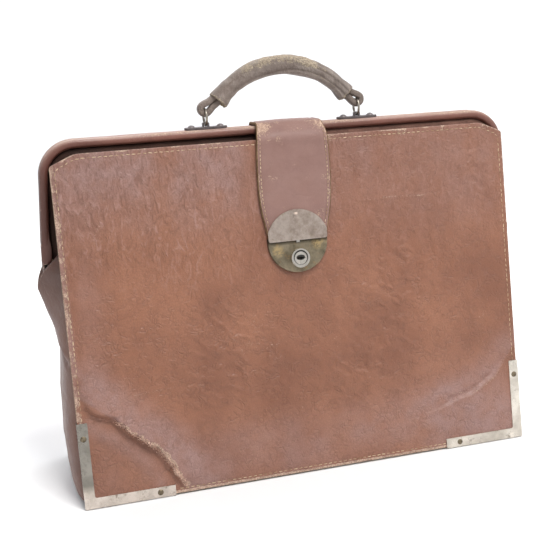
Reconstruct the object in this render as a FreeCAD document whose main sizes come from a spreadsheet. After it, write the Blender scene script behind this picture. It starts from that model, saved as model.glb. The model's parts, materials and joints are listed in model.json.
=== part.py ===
import FreeCAD, Part
import math
import os

import Sketcher
from FreeCAD import Placement, Rotation, Vector

# Doctor bag, about 430 mm wide: two stiff leather panels stand on a flat base and lean together.
# Each panel carries one half of a steel frame, and the two halves meet at a pin on each side.
# Millimetres. +X is the bag's right, +Y its back, +Z up. The origin is the centre of the base,
# on the surface that the bag stands on. Angles in the sheet are degrees.

DIMENSIONS = {
    # panels
    "panel_width": 429.0,
    "panel_height": 311.0,
    "panel_lean": 8.0,
    "foot_depth": 66.8,
    "foot_rise": 1.65,
    "leather_thick": 2.2,
    "board_thick": 1.8,
    "lining_thick": 1.2,
    "corner_run": 22.0,
    "corner_drop": 9.5,
    "corner_round": 24.0,
    "tip_round": 4.0,
    # base and gussets
    "base_half_width": 211.5,
    "base_half_depth": 59.0,
    "base_leather_thick": 2.0,
    "base_board_thick": 3.0,
    "base_lining_thick": 0.8,
    "gusset_x": 223.0,
    "gusset_waist_x": 220.0,
    "gusset_peak_x": 234.0,
    "gusset_thick": 2.4,
    "gusset_waist_z": 138.0,
    "gusset_peak_z": 191.0,
    "gusset_foot_depth": 58.6,
    "gusset_peak_depth": 35.0,
    # frame
    "frame_half_width": 222.0,
    "frame_top": 320.5,
    "cover_size": 9.5,
    "cover_depth": 10.0,
    "cover_end_z": 226.0,
    "cover_round": 2.5,
    "frame_corner": 30.0,
    "leg_flare": 0.06,
    "meeting_gap": 0.4,
    "bar_thick": 2.5,
    "bar_depth": 7.4,
    "front_bar_inset": 2.0,
    "back_bar_inset": 5.6,
    "pin_z": 212.0,
    "pin_bore": 2.0,
    "pin_slack": 4.9,
    "lug_radius": 8.5,
    "strip_thick": 1.6,
    "strip_reach": 17.4,
    "strip_half_width": 191.0,
    "pin_head_radius": 4.2,
    "pin_head_rise": 1.6,
    "washer_gap": 0.9,
    "washer_thick": 1.0,
    "web_x": 218.3,
    "web_thick": 1.8,
    "web_foot": 228.0,
    "web_top": 298.0,
    "web_reach_at_foot": 29.0,
    "web_reach_at_top": 19.0,
    # corner guards
    "guard_thick": 0.8,
    "guard_face": 9.4,
    "guard_rise": 76.5,
    "guard_run": 81.5,
    "guard_wrap": 6.0,
    "rivet_setback": 14.0,
    "rivet_bore": 1.3,
    # closure
    "strap_half_width": 34.0,
    "strap_end_half_width": 29.8,
    "strap_thick": 3.0,
    "strap_centre": 1.5,
    "strap_gap": 0.5,
    "strap_root_z": 311.8,
    "strap_bend_height": 303.0,
    "strap_dip_y": 24.4,
    "strap_dip_z": 310.5,
    "strap_rivet_z": 315.8,
    "strap_rivet_reach": 20.0,
    "strap_rivet_bore": 1.7,
    "taper_top": 284.0,
    "taper_middle": 252.0,
    "taper_foot": 216.0,
    "hasp_half_width": 28.0,
    "hasp_foot": 217.2,
    "hasp_shoulder": 226.0,
    "hasp_crown": 245.6,
    "hasp_thick": 1.5,
    "hasp_rivet_drop": 6.0,
    "hasp_rivet_bore": 1.35,
    "staple_width": 3.0,
    "staple_foot": 215.4,
    "staple_top": 220.6,
    "staple_reach": 11.0,
    "window_foot": 216.6,
    "window_top": 219.6,
    "window_near": 6.8,
    "window_far": 10.0,
    "slot_half_width": 2.3,
    "slot_foot": 214.9,
    "slot_top": 228.0,
    "lock_z": 201.0,
    "plate_half_width": 28.5,
    "plate_top": 220.5,
    "plate_shoulder": 216.2,
    "plate_thick": 3.2,
    "bezel_radius": 8.75,
    "bezel_rise": 5.0,
    "sleeve_radius": 6.9,
    "plug_radius": 5.9,
    "keyhole_half_width": 3.6,
    "keyhole_half_height": 0.75,
    "cam_half_width": 2.4,
    "cam_tail": 3.0,
    "cam_reach": 9.5,
    "cam_thick": 1.4,
    "bolt_nose": 3.0,
    "bolt_end": 17.0,
    "bolt_tail_side": 12.5,
    "bolt_tail_foot": 208.6,
    "bolt_foot": 216.9,
    "bolt_top": 219.3,
    "bolt_depth": 7.15,
    "bolt_thick": 2.5,
    "case_half_width": 30.0,
    "case_foot": 187.0,
    "case_top": 228.0,
    "case_wall": 1.4,
    "case_depth": 10.0,
    # handle
    "handle_centre": 4.0,
    "handle_depth": 5.4,
    "ring_half_span": 73.5,
    "ring_radius": 7.2,
    "wire_radius": 1.15,
    "ring_centre_z": 331.0,
    "plate_length": 40.0,
    "plate_width": 11.0,
    "plate_height": 1.8,
    "plate_rivet_reach": 13.5,
    "plate_rivet_bore": 1.45,
    "saddle_inner": 1.6,
    "saddle_outer": 3.2,
    "saddle_width": 3.0,
    "grip_radius_z": 7.0,
    "grip_radius_y": 9.0,
    "core_radius": 4.0,
    "arch_radius": 79.0,
    "arch_top_z": 374.8,
    "arch_sweep": 96.0,
    "eye_radius": 6.0,
    "eye_neck_radius": 5.6,
    "eye_half_thick": 4.4,
}

doc = FreeCAD.newDocument("doctor_bag")
sheet = doc.addObject("Spreadsheet::Sheet", "Dimensions")
for row, (alias, value) in enumerate(DIMENSIONS.items(), start=1):
    sheet.set(f"A{row}", str(value))
    sheet.setAlias(f"A{row}", alias)
doc.recompute()


class Size:
    """A length or angle that carries its value and the sheet expression that gives it."""

    def __init__(self, value, text):
        self.value = value
        self.text = text

    def __add__(self, other):
        other = as_size(other)
        return Size(self.value + other.value, f"({self.text} + {other.text})")

    def __sub__(self, other):
        other = as_size(other)
        return Size(self.value - other.value, f"({self.text} - {other.text})")

    def __mul__(self, other):
        other = as_size(other)
        return Size(self.value * other.value, f"({self.text} * {other.text})")

    def __truediv__(self, other):
        other = as_size(other)
        return Size(self.value / other.value, f"({self.text} / {other.text})")

    def __neg__(self):
        return Size(-self.value, f"(0 - {self.text})")


def as_size(value):
    if isinstance(value, Size):
        return value
    return Size(float(value), f"({float(value)})")


def size(alias):
    return Size(float(sheet.get(alias)), f"Dimensions.{alias}")


def read(alias):
    return size(alias).value


def cosine(angle):
    return Size(math.cos(math.radians(angle.value)), f"cos({angle.text})")


def sine(angle):
    return Size(math.sin(math.radians(angle.value)), f"sin({angle.text})")


# ---------------------------------------------------------------- bodies and sketches

PARTS = []


def keep(part, label):
    part.Label = label
    PARTS.append(part)
    return part


def new_body(label):
    return keep(doc.addObject("PartDesign::Body", label), label)


def new_sketch(body, role, offset=0.0):
    """A sketch on one of the body's own origin planes, moved along that plane's normal."""
    sketch = body.newObject("Sketcher::SketchObject", "outline")
    plane = next(item for item in body.Origin.OriginFeatures if item.Role == role)
    sketch.AttachmentSupport = [(plane, "")]
    sketch.MapMode = "FlatFace"
    offset = as_size(offset)
    sketch.AttachmentOffset = Placement(Vector(0, 0, offset.value), Rotation())
    sketch.setExpression("AttachmentOffset.Base.z", offset.text)
    return sketch


def pin_point(sketch, item, vertex, point):
    """Hold a vertex at the sheet's own distances from the sketch's origin."""
    for kind, distance in (("DistanceX", point[0]), ("DistanceY", point[1])):
        distance = as_size(distance)
        number = sketch.addConstraint(
            Sketcher.Constraint(kind, -1, 1, item, vertex, distance.value))
        sketch.setExpression(f"Constraints[{number}]", distance.text)


def flat(point):
    return Vector(as_size(point[0]).value, as_size(point[1]).value, 0)


def outline(sketch, points):
    """A closed outline of straight edges. A third item in a point is the next edge's middle,
    which makes that edge an arc."""
    first = sketch.GeometryCount
    count = len(points)
    for index, point in enumerate(points):
        start = flat(point)
        finish = flat(points[(index + 1) % count])
        if len(point) == 3:
            sketch.addGeometry(Part.Arc(start, flat(point[2]), finish), False)
        else:
            sketch.addGeometry(Part.LineSegment(start, finish), False)
    for index, point in enumerate(points):
        item = first + index
        before = first + (index - 1) % count
        vertex = nearest_end(sketch, item, flat(point))
        other = nearest_end(sketch, before, flat(point))
        sketch.addConstraint(Sketcher.Constraint("Coincident", before, other, item, vertex))
        pin_point(sketch, item, vertex, point)


def nearest_end(sketch, item, point):
    start = sketch.getPoint(item, 1)
    return 1 if start.distanceToPoint(point) < 1e-6 else 2


def rectangle(sketch, left, bottom, right, top):
    outline(sketch, [(left, bottom), (right, bottom), (right, top), (left, top)])


def circle(sketch, centre, radius):
    radius = as_size(radius)
    item = sketch.addGeometry(Part.Circle(flat(centre), Vector(0, 0, 1), radius.value), False)
    number = sketch.addConstraint(Sketcher.Constraint("Radius", item, radius.value))
    sketch.setExpression(f"Constraints[{number}]", radius.text)
    pin_point(sketch, item, 3, centre)


def pad(body, sketch, length, reverse=False, middle=False):
    feature = body.newObject("PartDesign::Pad", "pad")
    feature.Profile = sketch
    feature.setExpression("Length", as_size(length).text)
    feature.Reversed = reverse
    if middle:
        feature.SideType = "Symmetric"
    doc.recompute()
    return feature


def pocket(body, sketch, length=None, reverse=False, middle=False):
    """Cut the sketch into the body, and stop if nothing was cut."""
    before = body.Shape.Volume
    feature = body.newObject("PartDesign::Pocket", "pocket")
    feature.Profile = sketch
    if length is None:
        feature.Type = "ThroughAll"
    else:
        feature.setExpression("Length", as_size(length).text)
    feature.Reversed = reverse
    if middle:
        feature.SideType = "Symmetric"
    doc.recompute()
    if body.Shape.Volume > before - 0.01:
        raise ValueError(f"{body.Label}: a pocket cuts nothing")
    return feature


def fillet(body, feature, radius, wanted):
    """Round the feature's edges for which wanted(edge) is true."""
    names = [f"Edge{number}" for number, edge in enumerate(feature.Shape.Edges, start=1)
             if wanted(edge)]
    rounding = body.newObject("PartDesign::Fillet", "rounding")
    rounding.Base = (feature, names)
    rounding.setExpression("Radius", as_size(radius).text)
    doc.recompute()
    if "Invalid" in rounding.State:
        raise ValueError(f"{body.Label}: {len(names)} edges can't be rounded")
    return rounding


def edge_at(x, z):
    """True for an edge along Y at this X and Z, on either side of the bag."""
    def wanted(edge):
        ends = [vertex.Point for vertex in edge.Vertexes]
        return len(ends) == 2 and abs(ends[0].x - ends[1].x) < 0.01 and all(
            abs(abs(end.x) - x) < 0.01 and abs(end.z - z) < 0.01 for end in ends)
    return wanted


def panel_placement(back=False):
    """From a panel's own frame, with its outer face on Y = 0 and its foot on Z = 0."""
    lean = Placement(Vector(0, -read("foot_depth"), read("foot_rise")),
                     Rotation(Vector(1, 0, 0), -read("panel_lean")))
    return turn_to_side(back).multiply(lean)


def turn_to_side(back):
    return Placement(Vector(), Rotation(Vector(0, 0, 1), 180 if back else 0))


def side_name(back):
    return "back" if back else "front"


# ---------------------------------------------------------------- panels

LEATHER = size("leather_thick")
SANDWICH = size("leather_thick") + size("board_thick") + size("lining_thick")


def guard_rivet_places():
    """Rivet centres on the panel, left and right, on the guards' upright and level legs."""
    edge = size("panel_width") / 2 + size("guard_thick")
    face_middle = size("guard_face") / 2
    upright = (edge - face_middle, size("guard_rise") - size("rivet_setback"))
    level = (edge - size("guard_run") + size("rivet_setback"), face_middle - size("guard_thick"))
    places = []
    for x, z in (upright, level):
        places.append((x, z))
        places.append((-x, z))
    return places


def panel_layer(name, back, start, thickness):
    """One full-size sheet of a panel, from start to start + thickness behind its face."""
    body = new_body(f"{side_name(back)}_panel_{name}")
    half = size("panel_width") / 2
    top = size("panel_height")
    shoulder = top - size("corner_drop")
    run = half - size("corner_run")
    sketch = new_sketch(body, "XZ_Plane", -as_size(start))
    outline(sketch, [(-half, 0), (half, 0), (half, shoulder), (run, top), (-run, top),
                     (-half, shoulder)])
    for place in guard_rivet_places():
        circle(sketch, place, size("rivet_bore"))
    if not back:
        circle(sketch, (0, size("lock_z")), size("sleeve_radius") + 0.05)
        slot = size("slot_half_width")
        rectangle(sketch, -slot, size("slot_foot"), slot, size("slot_top"))
    sheet_pad = pad(body, sketch, thickness, reverse=True)
    crown = fillet(body, sheet_pad, size("corner_round"), edge_at(run.value, top.value))
    fillet(body, crown, size("tip_round"), edge_at(half.value, shoulder.value))
    body.Placement = panel_placement(back)


def corner_guard(back, side):
    """An L of thin plate on a lower corner, wrapped round the panel's two edges."""
    hand = "right" if side > 0 else "left"
    body = new_body(f"{side_name(back)}_guard_{hand}")
    thick = size("guard_thick")
    edge = size("panel_width") / 2 + thick
    inner = edge - size("guard_face")
    run = edge - size("guard_run")
    face_top = size("guard_face") - thick
    rise = size("guard_rise")
    sketch = new_sketch(body, "XZ_Plane", thick)
    corners = [(edge, -thick), (edge, rise), (inner, rise), (inner, face_top),
               (run, face_top), (run, -thick)]
    outline(sketch, [(x * side, z) for x, z in corners])
    for x, z in guard_rivet_places():
        if x.value * side > 0:
            circle(sketch, (x, z), size("rivet_bore"))
    plate = pad(body, sketch, size("guard_wrap") + thick, reverse=True)
    fillet(body, plate, 2.0, edge_at(inner.value, face_top.value))
    hollow = new_sketch(body, "XZ_Plane", 0.0)
    cut_top = rise + 1.0
    cut_run = run - 1.0
    inside = edge - thick
    outline(hollow, [(cut_run * side, 0), (inside * side, 0), (inside * side, cut_top),
                     (cut_run * side, cut_top)])
    pocket(body, hollow, size("guard_wrap") + 1.0)
    body.Placement = panel_placement(back)


def domed_rivet(head_radius, head_rise, shank_radius, shank_length, burr_radius=0.0):
    """A rivet along +Y: its head's flat side on Y = 0, its dome towards -Y."""
    dome_radius = (head_radius ** 2 + head_rise ** 2) / (2 * head_rise)
    dome = Part.makeSphere(dome_radius, Vector(0, dome_radius - head_rise, 0))
    block = Part.makeBox(4 * head_radius, head_rise, 4 * head_radius,
                         Vector(-2 * head_radius, -head_rise, -2 * head_radius))
    head = dome.common(block)
    along = Vector(0, 1, 0)
    rivet = head.fuse(Part.makeCylinder(shank_radius, shank_length, Vector(), along))
    if burr_radius > 0:
        burr = Part.makeCylinder(burr_radius, 0.6, Vector(0, shank_length - 0.6, 0), along)
        rivet = rivet.fuse(burr)
    return rivet.removeSplitter()


def rivet_group(label, rivet, places, placement):
    group = keep(doc.addObject("Part::Feature", label), label)
    copies = []
    for place in places:
        copy = rivet.copy()
        copy.translate(place)
        copies.append(copy)
    group.Shape = Part.makeCompound(copies)
    group.Placement = placement


def guard_rivets(back):
    thick = read("guard_thick")
    length = thick + SANDWICH.value + 0.6
    rivet = domed_rivet(2.7, 1.1, read("rivet_bore") - 0.05, length, burr_radius=2.3)
    places = [Vector(x.value, -thick, z.value) for x, z in guard_rivet_places()]
    rivet_group(f"{side_name(back)}_guard_rivets", rivet, places, panel_placement(back))


# ---------------------------------------------------------------- base and gussets


def base_layer(name, foot, thickness, inset):
    layer = keep(doc.addObject("Part::Box", name), name)
    half_width = size("base_half_width") - inset
    half_depth = size("base_half_depth") - inset
    layer.setExpression("Length", (half_width * 2).text)
    layer.setExpression("Width", (half_depth * 2).text)
    layer.setExpression("Height", thickness.text)
    layer.setExpression("Placement.Base.x", (-half_width).text)
    layer.setExpression("Placement.Base.y", (-half_depth).text)
    layer.setExpression("Placement.Base.z", as_size(foot).text)


def gusset(side):
    """The lower part of one gusset: a folded leather wall between the two panels."""
    hand = "right" if side > 0 else "left"
    body = new_body(f"{hand}_gusset")
    wall = size("gusset_x")
    waist = size("gusset_waist_x")
    peak = size("gusset_peak_x")
    thick = size("gusset_thick")
    foot = size("base_half_width") + 0.4
    waist_z = size("gusset_waist_z")
    peak_z = size("gusset_peak_z")
    profile = [
        (foot, 0), (wall - 4.0, 0), (wall, 6.0), (wall, 100.0), (waist, waist_z), (peak, peak_z),
        (peak - 4.0, peak_z + 7.0), (peak - 6.2, peak_z + 5.6), (peak - thick - 0.8, peak_z),
        (waist - thick, waist_z), (wall - thick, 100.0), (wall - thick, 7.0),
        (wall - 5.0, thick), (foot, thick),
    ]
    sketch = new_sketch(body, "XZ_Plane")
    outline(sketch, [(as_size(x) * side, z) for x, z in profile])
    pad(body, sketch, size("gusset_foot_depth") * 2, middle=True)
    trim = new_sketch(body, "YZ_Plane", size("gusset_peak_x") * side + 10.0 * side)
    foot_depth = size("gusset_foot_depth")
    peak_depth = size("gusset_peak_depth")
    top = peak_z + 10.0
    far = foot_depth + 5.0
    for sign in (-1, 1):
        outline(trim, [(foot_depth * sign, 8.0), (far * sign, 8.0), (far * sign, top),
                       (peak_depth * sign, top)])
    pocket(body, trim, 60.0, reverse=side < 0)


# ---------------------------------------------------------------- frame


def flare(top, z):
    """How much wider an arch's leg stands at a height than under its top."""
    return size("leg_flare") * (top - z)


def arch_points(half_width, top, thickness, end_z):
    """An upside-down U with flared legs, by its outer half width and top."""
    end_z = as_size(end_z)
    under = top - thickness
    foot = half_width + flare(top, end_z)
    inner = half_width - thickness + flare(top, under)
    inner_foot = foot - thickness
    return [(-foot, end_z), (-half_width, top), (half_width, top), (foot, end_z),
            (inner_foot, end_z), (inner, under), (-inner, under), (-inner_foot, end_z)]


def arch(body, half_width, top, thickness, end_z, start, depth):
    """Pad an arch from Y = -start towards -Y, with its corners rounded."""
    corners = arch_points(half_width, top, thickness, end_z)
    sketch = new_sketch(body, "XZ_Plane", start)
    outline(sketch, corners)
    solid = pad(body, sketch, depth)
    radius = size("frame_corner") - (size("frame_half_width") - half_width)
    outer = fillet(body, solid, radius, edge_at(half_width.value, top.value))
    inner, under = corners[5]
    return fillet(body, outer, radius - thickness, edge_at(inner.value, under.value))


def bar_inset(back):
    return size("back_bar_inset") if back else size("front_bar_inset")


def frame_cover(back):
    """Rolled leather round the steel: a tube with a slit where the two halves meet."""
    body = new_body(f"{side_name(back)}_frame_cover")
    half_width = size("frame_half_width")
    top = size("frame_top")
    gap = size("meeting_gap")
    depth = size("cover_depth")
    solid = arch(body, half_width, top, size("cover_size"), size("cover_end_z"), gap, depth)
    far = -(gap + depth).value
    outline_edges = fillet(
        body, solid, size("cover_round"),
        lambda edge: all(abs(vertex.Point.y - far) < 0.01 for vertex in edge.Vertexes)
        and abs(edge.CenterOfMass.z - read("cover_end_z")) > 0.01)
    fillet(body, outline_edges, size("cover_round") - 0.5,
           lambda edge: all(abs(vertex.Point.y + gap.value) < 0.01 for vertex in edge.Vertexes)
           and abs(edge.CenterOfMass.z - read("cover_end_z")) > 0.01)
    channel = new_sketch(body, "XZ_Plane", gap - 1.0)
    inset = bar_inset(back)
    slack = 0.05
    room = size("bar_thick") + 2 * slack
    corners = arch_points(half_width - inset + slack, top - inset + slack, room,
                          size("cover_end_z") - 1.0)
    radius = size("frame_corner") - inset + slack
    outline(channel, rounded_arch(corners, radius, radius - room))
    pocket(body, channel, size("bar_depth") + 1.8, reverse=True)
    body.Placement = turn_to_side(back)


def rounded_corner(x, z, radius):
    """Where an arc meets the leg, its middle, and where it meets the top, for a right-hand corner."""
    slope = read("leg_flare")
    length = math.hypot(1.0, slope)
    leg = (slope / length, -1.0 / length)
    half_angle = math.acos(-leg[0]) / 2
    reach = radius * (1.0 / math.tan(half_angle))
    way = ((leg[0] - 1.0) / 2 / math.cos(half_angle), leg[1] / 2 / math.cos(half_angle))
    drop = radius * (1.0 / math.sin(half_angle) - 1.0)
    return ((x + reach * leg[0], z + reach * leg[1]), (x + drop * way[0], z + drop * way[1]),
            (x - reach, z))


def rounded_arch(corners, radius, small):
    """Put arcs on the two outer and two inner corners of an arch's outline."""
    foot, end_z = corners[3]
    inner_foot = corners[4][0]
    low, middle, high = rounded_corner(*corners[2], radius)
    inner_low, inner_middle, inner_high = rounded_corner(*corners[5], small)
    return [
        (-foot, end_z),
        (-low[0], low[1], (-middle[0], middle[1])),
        (-high[0], high[1]),
        (high[0], high[1], middle),
        low,
        (foot, end_z),
        (inner_foot, end_z),
        (inner_low[0], inner_low[1], inner_middle),
        inner_high,
        (-inner_high[0], inner_high[1], (-inner_middle[0], inner_middle[1])),
        (-inner_low[0], inner_low[1]),
        (-inner_foot, end_z),
    ]


def frame_bar(back):
    """Steel strip inside a cover, with a lug at each end for the hinge pin."""
    body = new_body(f"{side_name(back)}_frame_bar")
    inset = bar_inset(back)
    thick = size("bar_thick")
    arch(body, size("frame_half_width") - inset, size("frame_top") - inset, thick, size("pin_z"),
         size("meeting_gap") + 0.6, size("bar_depth"))
    outside = lug_outside(back)
    hole = size("pin_slack") if back else size("pin_bore") + 0.05
    for side in (-1, 1):
        lug = new_sketch(body, "YZ_Plane", (outside - thick) * side)
        circle(lug, (0, size("pin_z")), size("lug_radius"))
        pad(body, lug, thick, reverse=side < 0)
        eye = new_sketch(body, "YZ_Plane", (outside + 1.0) * side)
        circle(eye, (0, size("pin_z")), hole)
        pocket(body, eye, thick + 2.0, reverse=side < 0)
    body.Placement = turn_to_side(back)


def lug_outside(back):
    """Half the distance over the two lugs of one bar."""
    inset = bar_inset(back)
    return size("frame_half_width") - inset + flare(size("frame_top") - inset, size("pin_z"))


def hinge_pin(side):
    """Pin with a low head outside and a broad washer inside, on the frame's side."""
    hand = "right" if side > 0 else "left"
    body = new_body(f"hinge_pin_{hand}")
    outer = lug_outside(False)
    inner = lug_outside(True) - size("bar_thick") - size("washer_gap")
    for start, finish, radius in (
            (outer + size("pin_head_rise"), outer, size("pin_head_radius")),
            (outer, inner, size("pin_bore")),
            (inner, inner - size("washer_thick"), size("lug_radius") - 0.5)):
        sketch = new_sketch(body, "YZ_Plane", finish * side)
        circle(sketch, (0, size("pin_z")), radius)
        pad(body, sketch, start - finish, reverse=side < 0)


def hinge_strip(back):
    """Flexible leather under the cover that reaches for the panel's top edge."""
    label = f"{side_name(back)}_hinge_strip"
    strip = keep(doc.addObject("Part::Box", label), label)
    half = size("strip_half_width")
    reach = size("strip_reach")
    under = size("frame_top") - size("cover_size")
    strip.setExpression("Length", (half * 2).text)
    strip.setExpression("Width", (reach - 3.0).text)
    strip.setExpression("Height", size("strip_thick").text)
    strip.setExpression("Placement.Base.x", (-half).text)
    near = as_size(3.0) if back else -reach
    strip.setExpression("Placement.Base.y", near.text)
    strip.setExpression("Placement.Base.z", (under - size("strip_thick")).text)


def gusset_web(back, side):
    """Upper triangle of gusset leather, from a frame leg to the panel's side edge."""
    hand = "right" if side > 0 else "left"
    body = new_body(f"{hand}_gusset_{side_name(back)}_web")
    near = size("meeting_gap") + size("cover_depth")
    foot = size("web_foot")
    top = size("web_top")
    sketch = new_sketch(body, "YZ_Plane", size("web_x") * side)
    sign = 1 if back else -1
    corners = [(near, foot), (near, top), (size("web_reach_at_top"), top),
               (size("web_reach_at_foot"), foot)]
    outline(sketch, [(y * sign, z) for y, z in corners])
    pad(body, sketch, size("web_thick"), reverse=side < 0)


# ---------------------------------------------------------------- closure


def on_panel(depth, height):
    """Y and Z of a point on the front panel's middle line, depth mm in front of its face."""
    lean = size("panel_lean")
    depth = as_size(depth)
    height = as_size(height)
    y = -size("foot_depth") - depth * cosine(lean) + height * sine(lean)
    z = size("foot_rise") + depth * sine(lean) + height * cosine(lean)
    return (y, z)


def strap_leather():
    """The strap from behind the frame, over its top and down the front panel to the hasp."""
    body = new_body("strap_leather")
    thick = size("strap_thick")
    top = size("frame_top") + 0.4
    back = size("meeting_gap") + size("cover_depth") + 0.5
    end = size("plate_top") + 0.2
    gap = size("strap_gap")
    root = size("strap_root_z")
    bend = size("strap_bend_height")
    dip_y = -size("strap_dip_y")
    dip_z = size("strap_dip_z")
    inner_line = [(back, root), (back, top - 1.4), (back - 1.6, top), (-back + 2.4, top),
                  (-back - 1.1, top - 2.4), (dip_y, dip_z), on_panel(gap, bend), on_panel(gap, end)]
    outer_line = [on_panel(thick + gap, end), on_panel(thick + gap, bend + 1.0),
                  (dip_y - thick, dip_z + 1.7), (-back - 3.2, top + 0.1),
                  (-back + 1.4, top + thick), (back - 1.9, top + thick),
                  (back + thick, top - 1.4), (back + thick, root)]
    sketch = new_sketch(body, "YZ_Plane", size("strap_centre"))
    outline(sketch, inner_line + outer_line)
    pad(body, sketch, size("strap_half_width") * 2, middle=True)
    sides = new_sketch(body, "XZ_Plane", 60.0)
    wide = size("strap_half_width")
    narrow = size("strap_end_half_width")
    centre = size("strap_centre")
    taper_top = size("taper_top")
    taper_foot = size("taper_foot")
    for sign in (-1, 1):
        past = centre + (wide + 2.0) * sign
        outline(sides, [(centre + wide * sign, taper_top),
                        (centre + (narrow + 1.0) * sign, size("taper_middle")),
                        (centre + narrow * sign, taper_foot), (past, taper_foot),
                        (past, taper_top)])
    pocket(body, sides, 60.0)
    holes = new_sketch(body, "XZ_Plane", -(back + thick + 1.0))
    for sign in (-1, 1):
        circle(holes, (centre + size("strap_rivet_reach") * sign, size("strap_rivet_z")),
               size("strap_rivet_bore"))
    pocket(body, holes, thick + 2.0, reverse=True)


def strap_rivets():
    """Two rivets that hold the strap's root to the back half of the frame."""
    rivet = domed_rivet(4.0, 1.4, 1.4, 8.0)
    rivet.rotate(Vector(), Vector(0, 0, 1), 180)
    y = read("meeting_gap") + read("cover_depth") + 0.5 + read("strap_thick") + 0.3
    centre = read("strap_centre")
    reach = read("strap_rivet_reach")
    places = [Vector(centre + reach * sign, y, read("strap_rivet_z")) for sign in (-1, 1)]
    rivet_group("strap_rivets", rivet, places, Placement())


def hasp_plate():
    body = new_body("hasp_plate")
    half = size("hasp_half_width")
    foot = size("hasp_foot")
    shoulder = size("hasp_shoulder")
    sketch = new_sketch(body, "XZ_Plane", size("strap_thick") + size("strap_gap"))
    outline(sketch, [(-half, foot), (half, foot), (half, shoulder, (0, size("hasp_crown"))),
                     (-half, shoulder)])
    circle(sketch, (0, size("hasp_crown") - size("hasp_rivet_drop")), size("hasp_rivet_bore"))
    plate = pad(body, sketch, size("hasp_thick"))
    fillet(body, plate, 2.2, edge_at(half.value, foot.value))
    body.Placement = panel_placement()


def hasp_rivet():
    """The rivet that holds the hasp plate to the strap's end."""
    rivet = domed_rivet(3.5, 1.2, 1.3, read("hasp_thick") + 1.5)
    face = -(read("strap_thick") + read("strap_gap") + read("hasp_thick"))
    place = Vector(0, face, read("hasp_crown") - read("hasp_rivet_drop"))
    rivet_group("hasp_rivet", rivet, [place], panel_placement())


def hasp_staple():
    """A tongue behind the hasp that passes into the lock, with a window for the bolt."""
    body = new_body("hasp_staple")
    sketch = new_sketch(body, "YZ_Plane")
    rectangle(sketch, -(size("strap_thick") + size("strap_gap")), size("staple_foot"),
              size("staple_reach"), size("staple_top"))
    rectangle(sketch, size("window_near"), size("window_foot"), size("window_far"),
              size("window_top"))
    pad(body, sketch, size("staple_width"), middle=True)
    body.Placement = panel_placement()


def lock_plate():
    body = new_body("lock_plate")
    half = size("plate_half_width")
    top = size("plate_top")
    shoulder = size("plate_shoulder")
    slot = size("slot_half_width")
    foot = size("slot_foot")
    sketch = new_sketch(body, "XZ_Plane")
    outline(sketch, [(-half, top), (-half, shoulder, (0, shoulder - half)), (half, shoulder),
                     (half, top), (slot, top), (slot, foot), (-slot, foot), (-slot, top)])
    circle(sketch, (0, size("lock_z")), size("sleeve_radius") + 0.05)
    plate = pad(body, sketch, size("plate_thick"))
    fillet(body, plate, 1.2, lambda edge: all(
        abs(vertex.Point.y + read("plate_thick")) < 0.01 for vertex in edge.Vertexes)
        and edge.CenterOfMass.z < shoulder.value and edge.Length > 60.0)
    body.Placement = panel_placement()


def turned_steps(body, steps):
    """Discs on the lock's axis: each step is where it starts and ends, and its radius."""
    for start, finish, radius in steps:
        sketch = new_sketch(body, "XZ_Plane", -as_size(finish))
        circle(sketch, (0, size("lock_z")), radius)
        pad(body, sketch, as_size(finish) - start)


def lock_barrel():
    """Bezel and sleeve, bored for the plug."""
    body = new_body("lock_barrel")
    face = -size("plate_thick")
    turned_steps(body, [(face - size("bezel_rise"), face, size("bezel_radius")),
                        (face, SANDWICH + 5.5, size("sleeve_radius"))])
    bore = new_sketch(body, "XZ_Plane", 12.0)
    circle(bore, (0, size("lock_z")), size("plug_radius") + 0.08)
    pocket(body, bore, 40.0)
    body.Placement = panel_placement()


def lock_plug():
    """Key plug with its slot in front and a cam behind."""
    body = new_body("lock_plug")
    front = -size("plate_thick") - size("bezel_rise") + 0.4
    rear = SANDWICH + 5.9
    turned_steps(body, [(front, rear, size("plug_radius"))])
    keyhole = new_sketch(body, "XZ_Plane", 12.0)
    middle = size("lock_z")
    wide = size("keyhole_half_width")
    high = size("keyhole_half_height")
    rectangle(keyhole, -wide, middle - high, wide, middle + high)
    pocket(body, keyhole, 14.0)
    cam = new_sketch(body, "XZ_Plane", -(rear + size("cam_thick")))
    half = size("cam_half_width")
    rectangle(cam, -half, middle - size("cam_tail"), half, middle + size("cam_reach"))
    pad(body, cam, size("cam_thick"))
    body.Placement = panel_placement()


def lock_case():
    """Pressed steel box behind the panel, open towards it."""
    body = new_body("lock_case")
    half = size("case_half_width")
    wall = size("case_wall")
    foot = size("case_foot")
    top = size("case_top")
    block = new_sketch(body, "XZ_Plane", -SANDWICH)
    rectangle(block, -half, foot, half, top)
    pad(body, block, size("case_depth"), reverse=True)
    hollow = new_sketch(body, "XZ_Plane", -SANDWICH)
    rectangle(hollow, wall - half, foot + wall, half - wall, top - wall)
    pocket(body, hollow, size("case_depth") - wall)
    body.Placement = panel_placement()


def lock_bolt():
    """The bolt, drawn back from the staple, with a tail that the cam drives."""
    body = new_body("lock_bolt")
    nose = -size("bolt_nose")
    end = -size("bolt_end")
    tail = -size("bolt_tail_side")
    foot = size("bolt_foot")
    top = size("bolt_top")
    tail_foot = size("bolt_tail_foot")
    sketch = new_sketch(body, "XZ_Plane", -size("bolt_depth"))
    outline(sketch, [(nose, foot), (nose, top), (end, top), (end, tail_foot), (tail, tail_foot),
                     (tail, foot)])
    pad(body, sketch, size("bolt_thick"), reverse=True)
    body.Placement = panel_placement()


# ---------------------------------------------------------------- handle


def place_x(side):
    return size("handle_centre") + size("ring_half_span") * side


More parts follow.
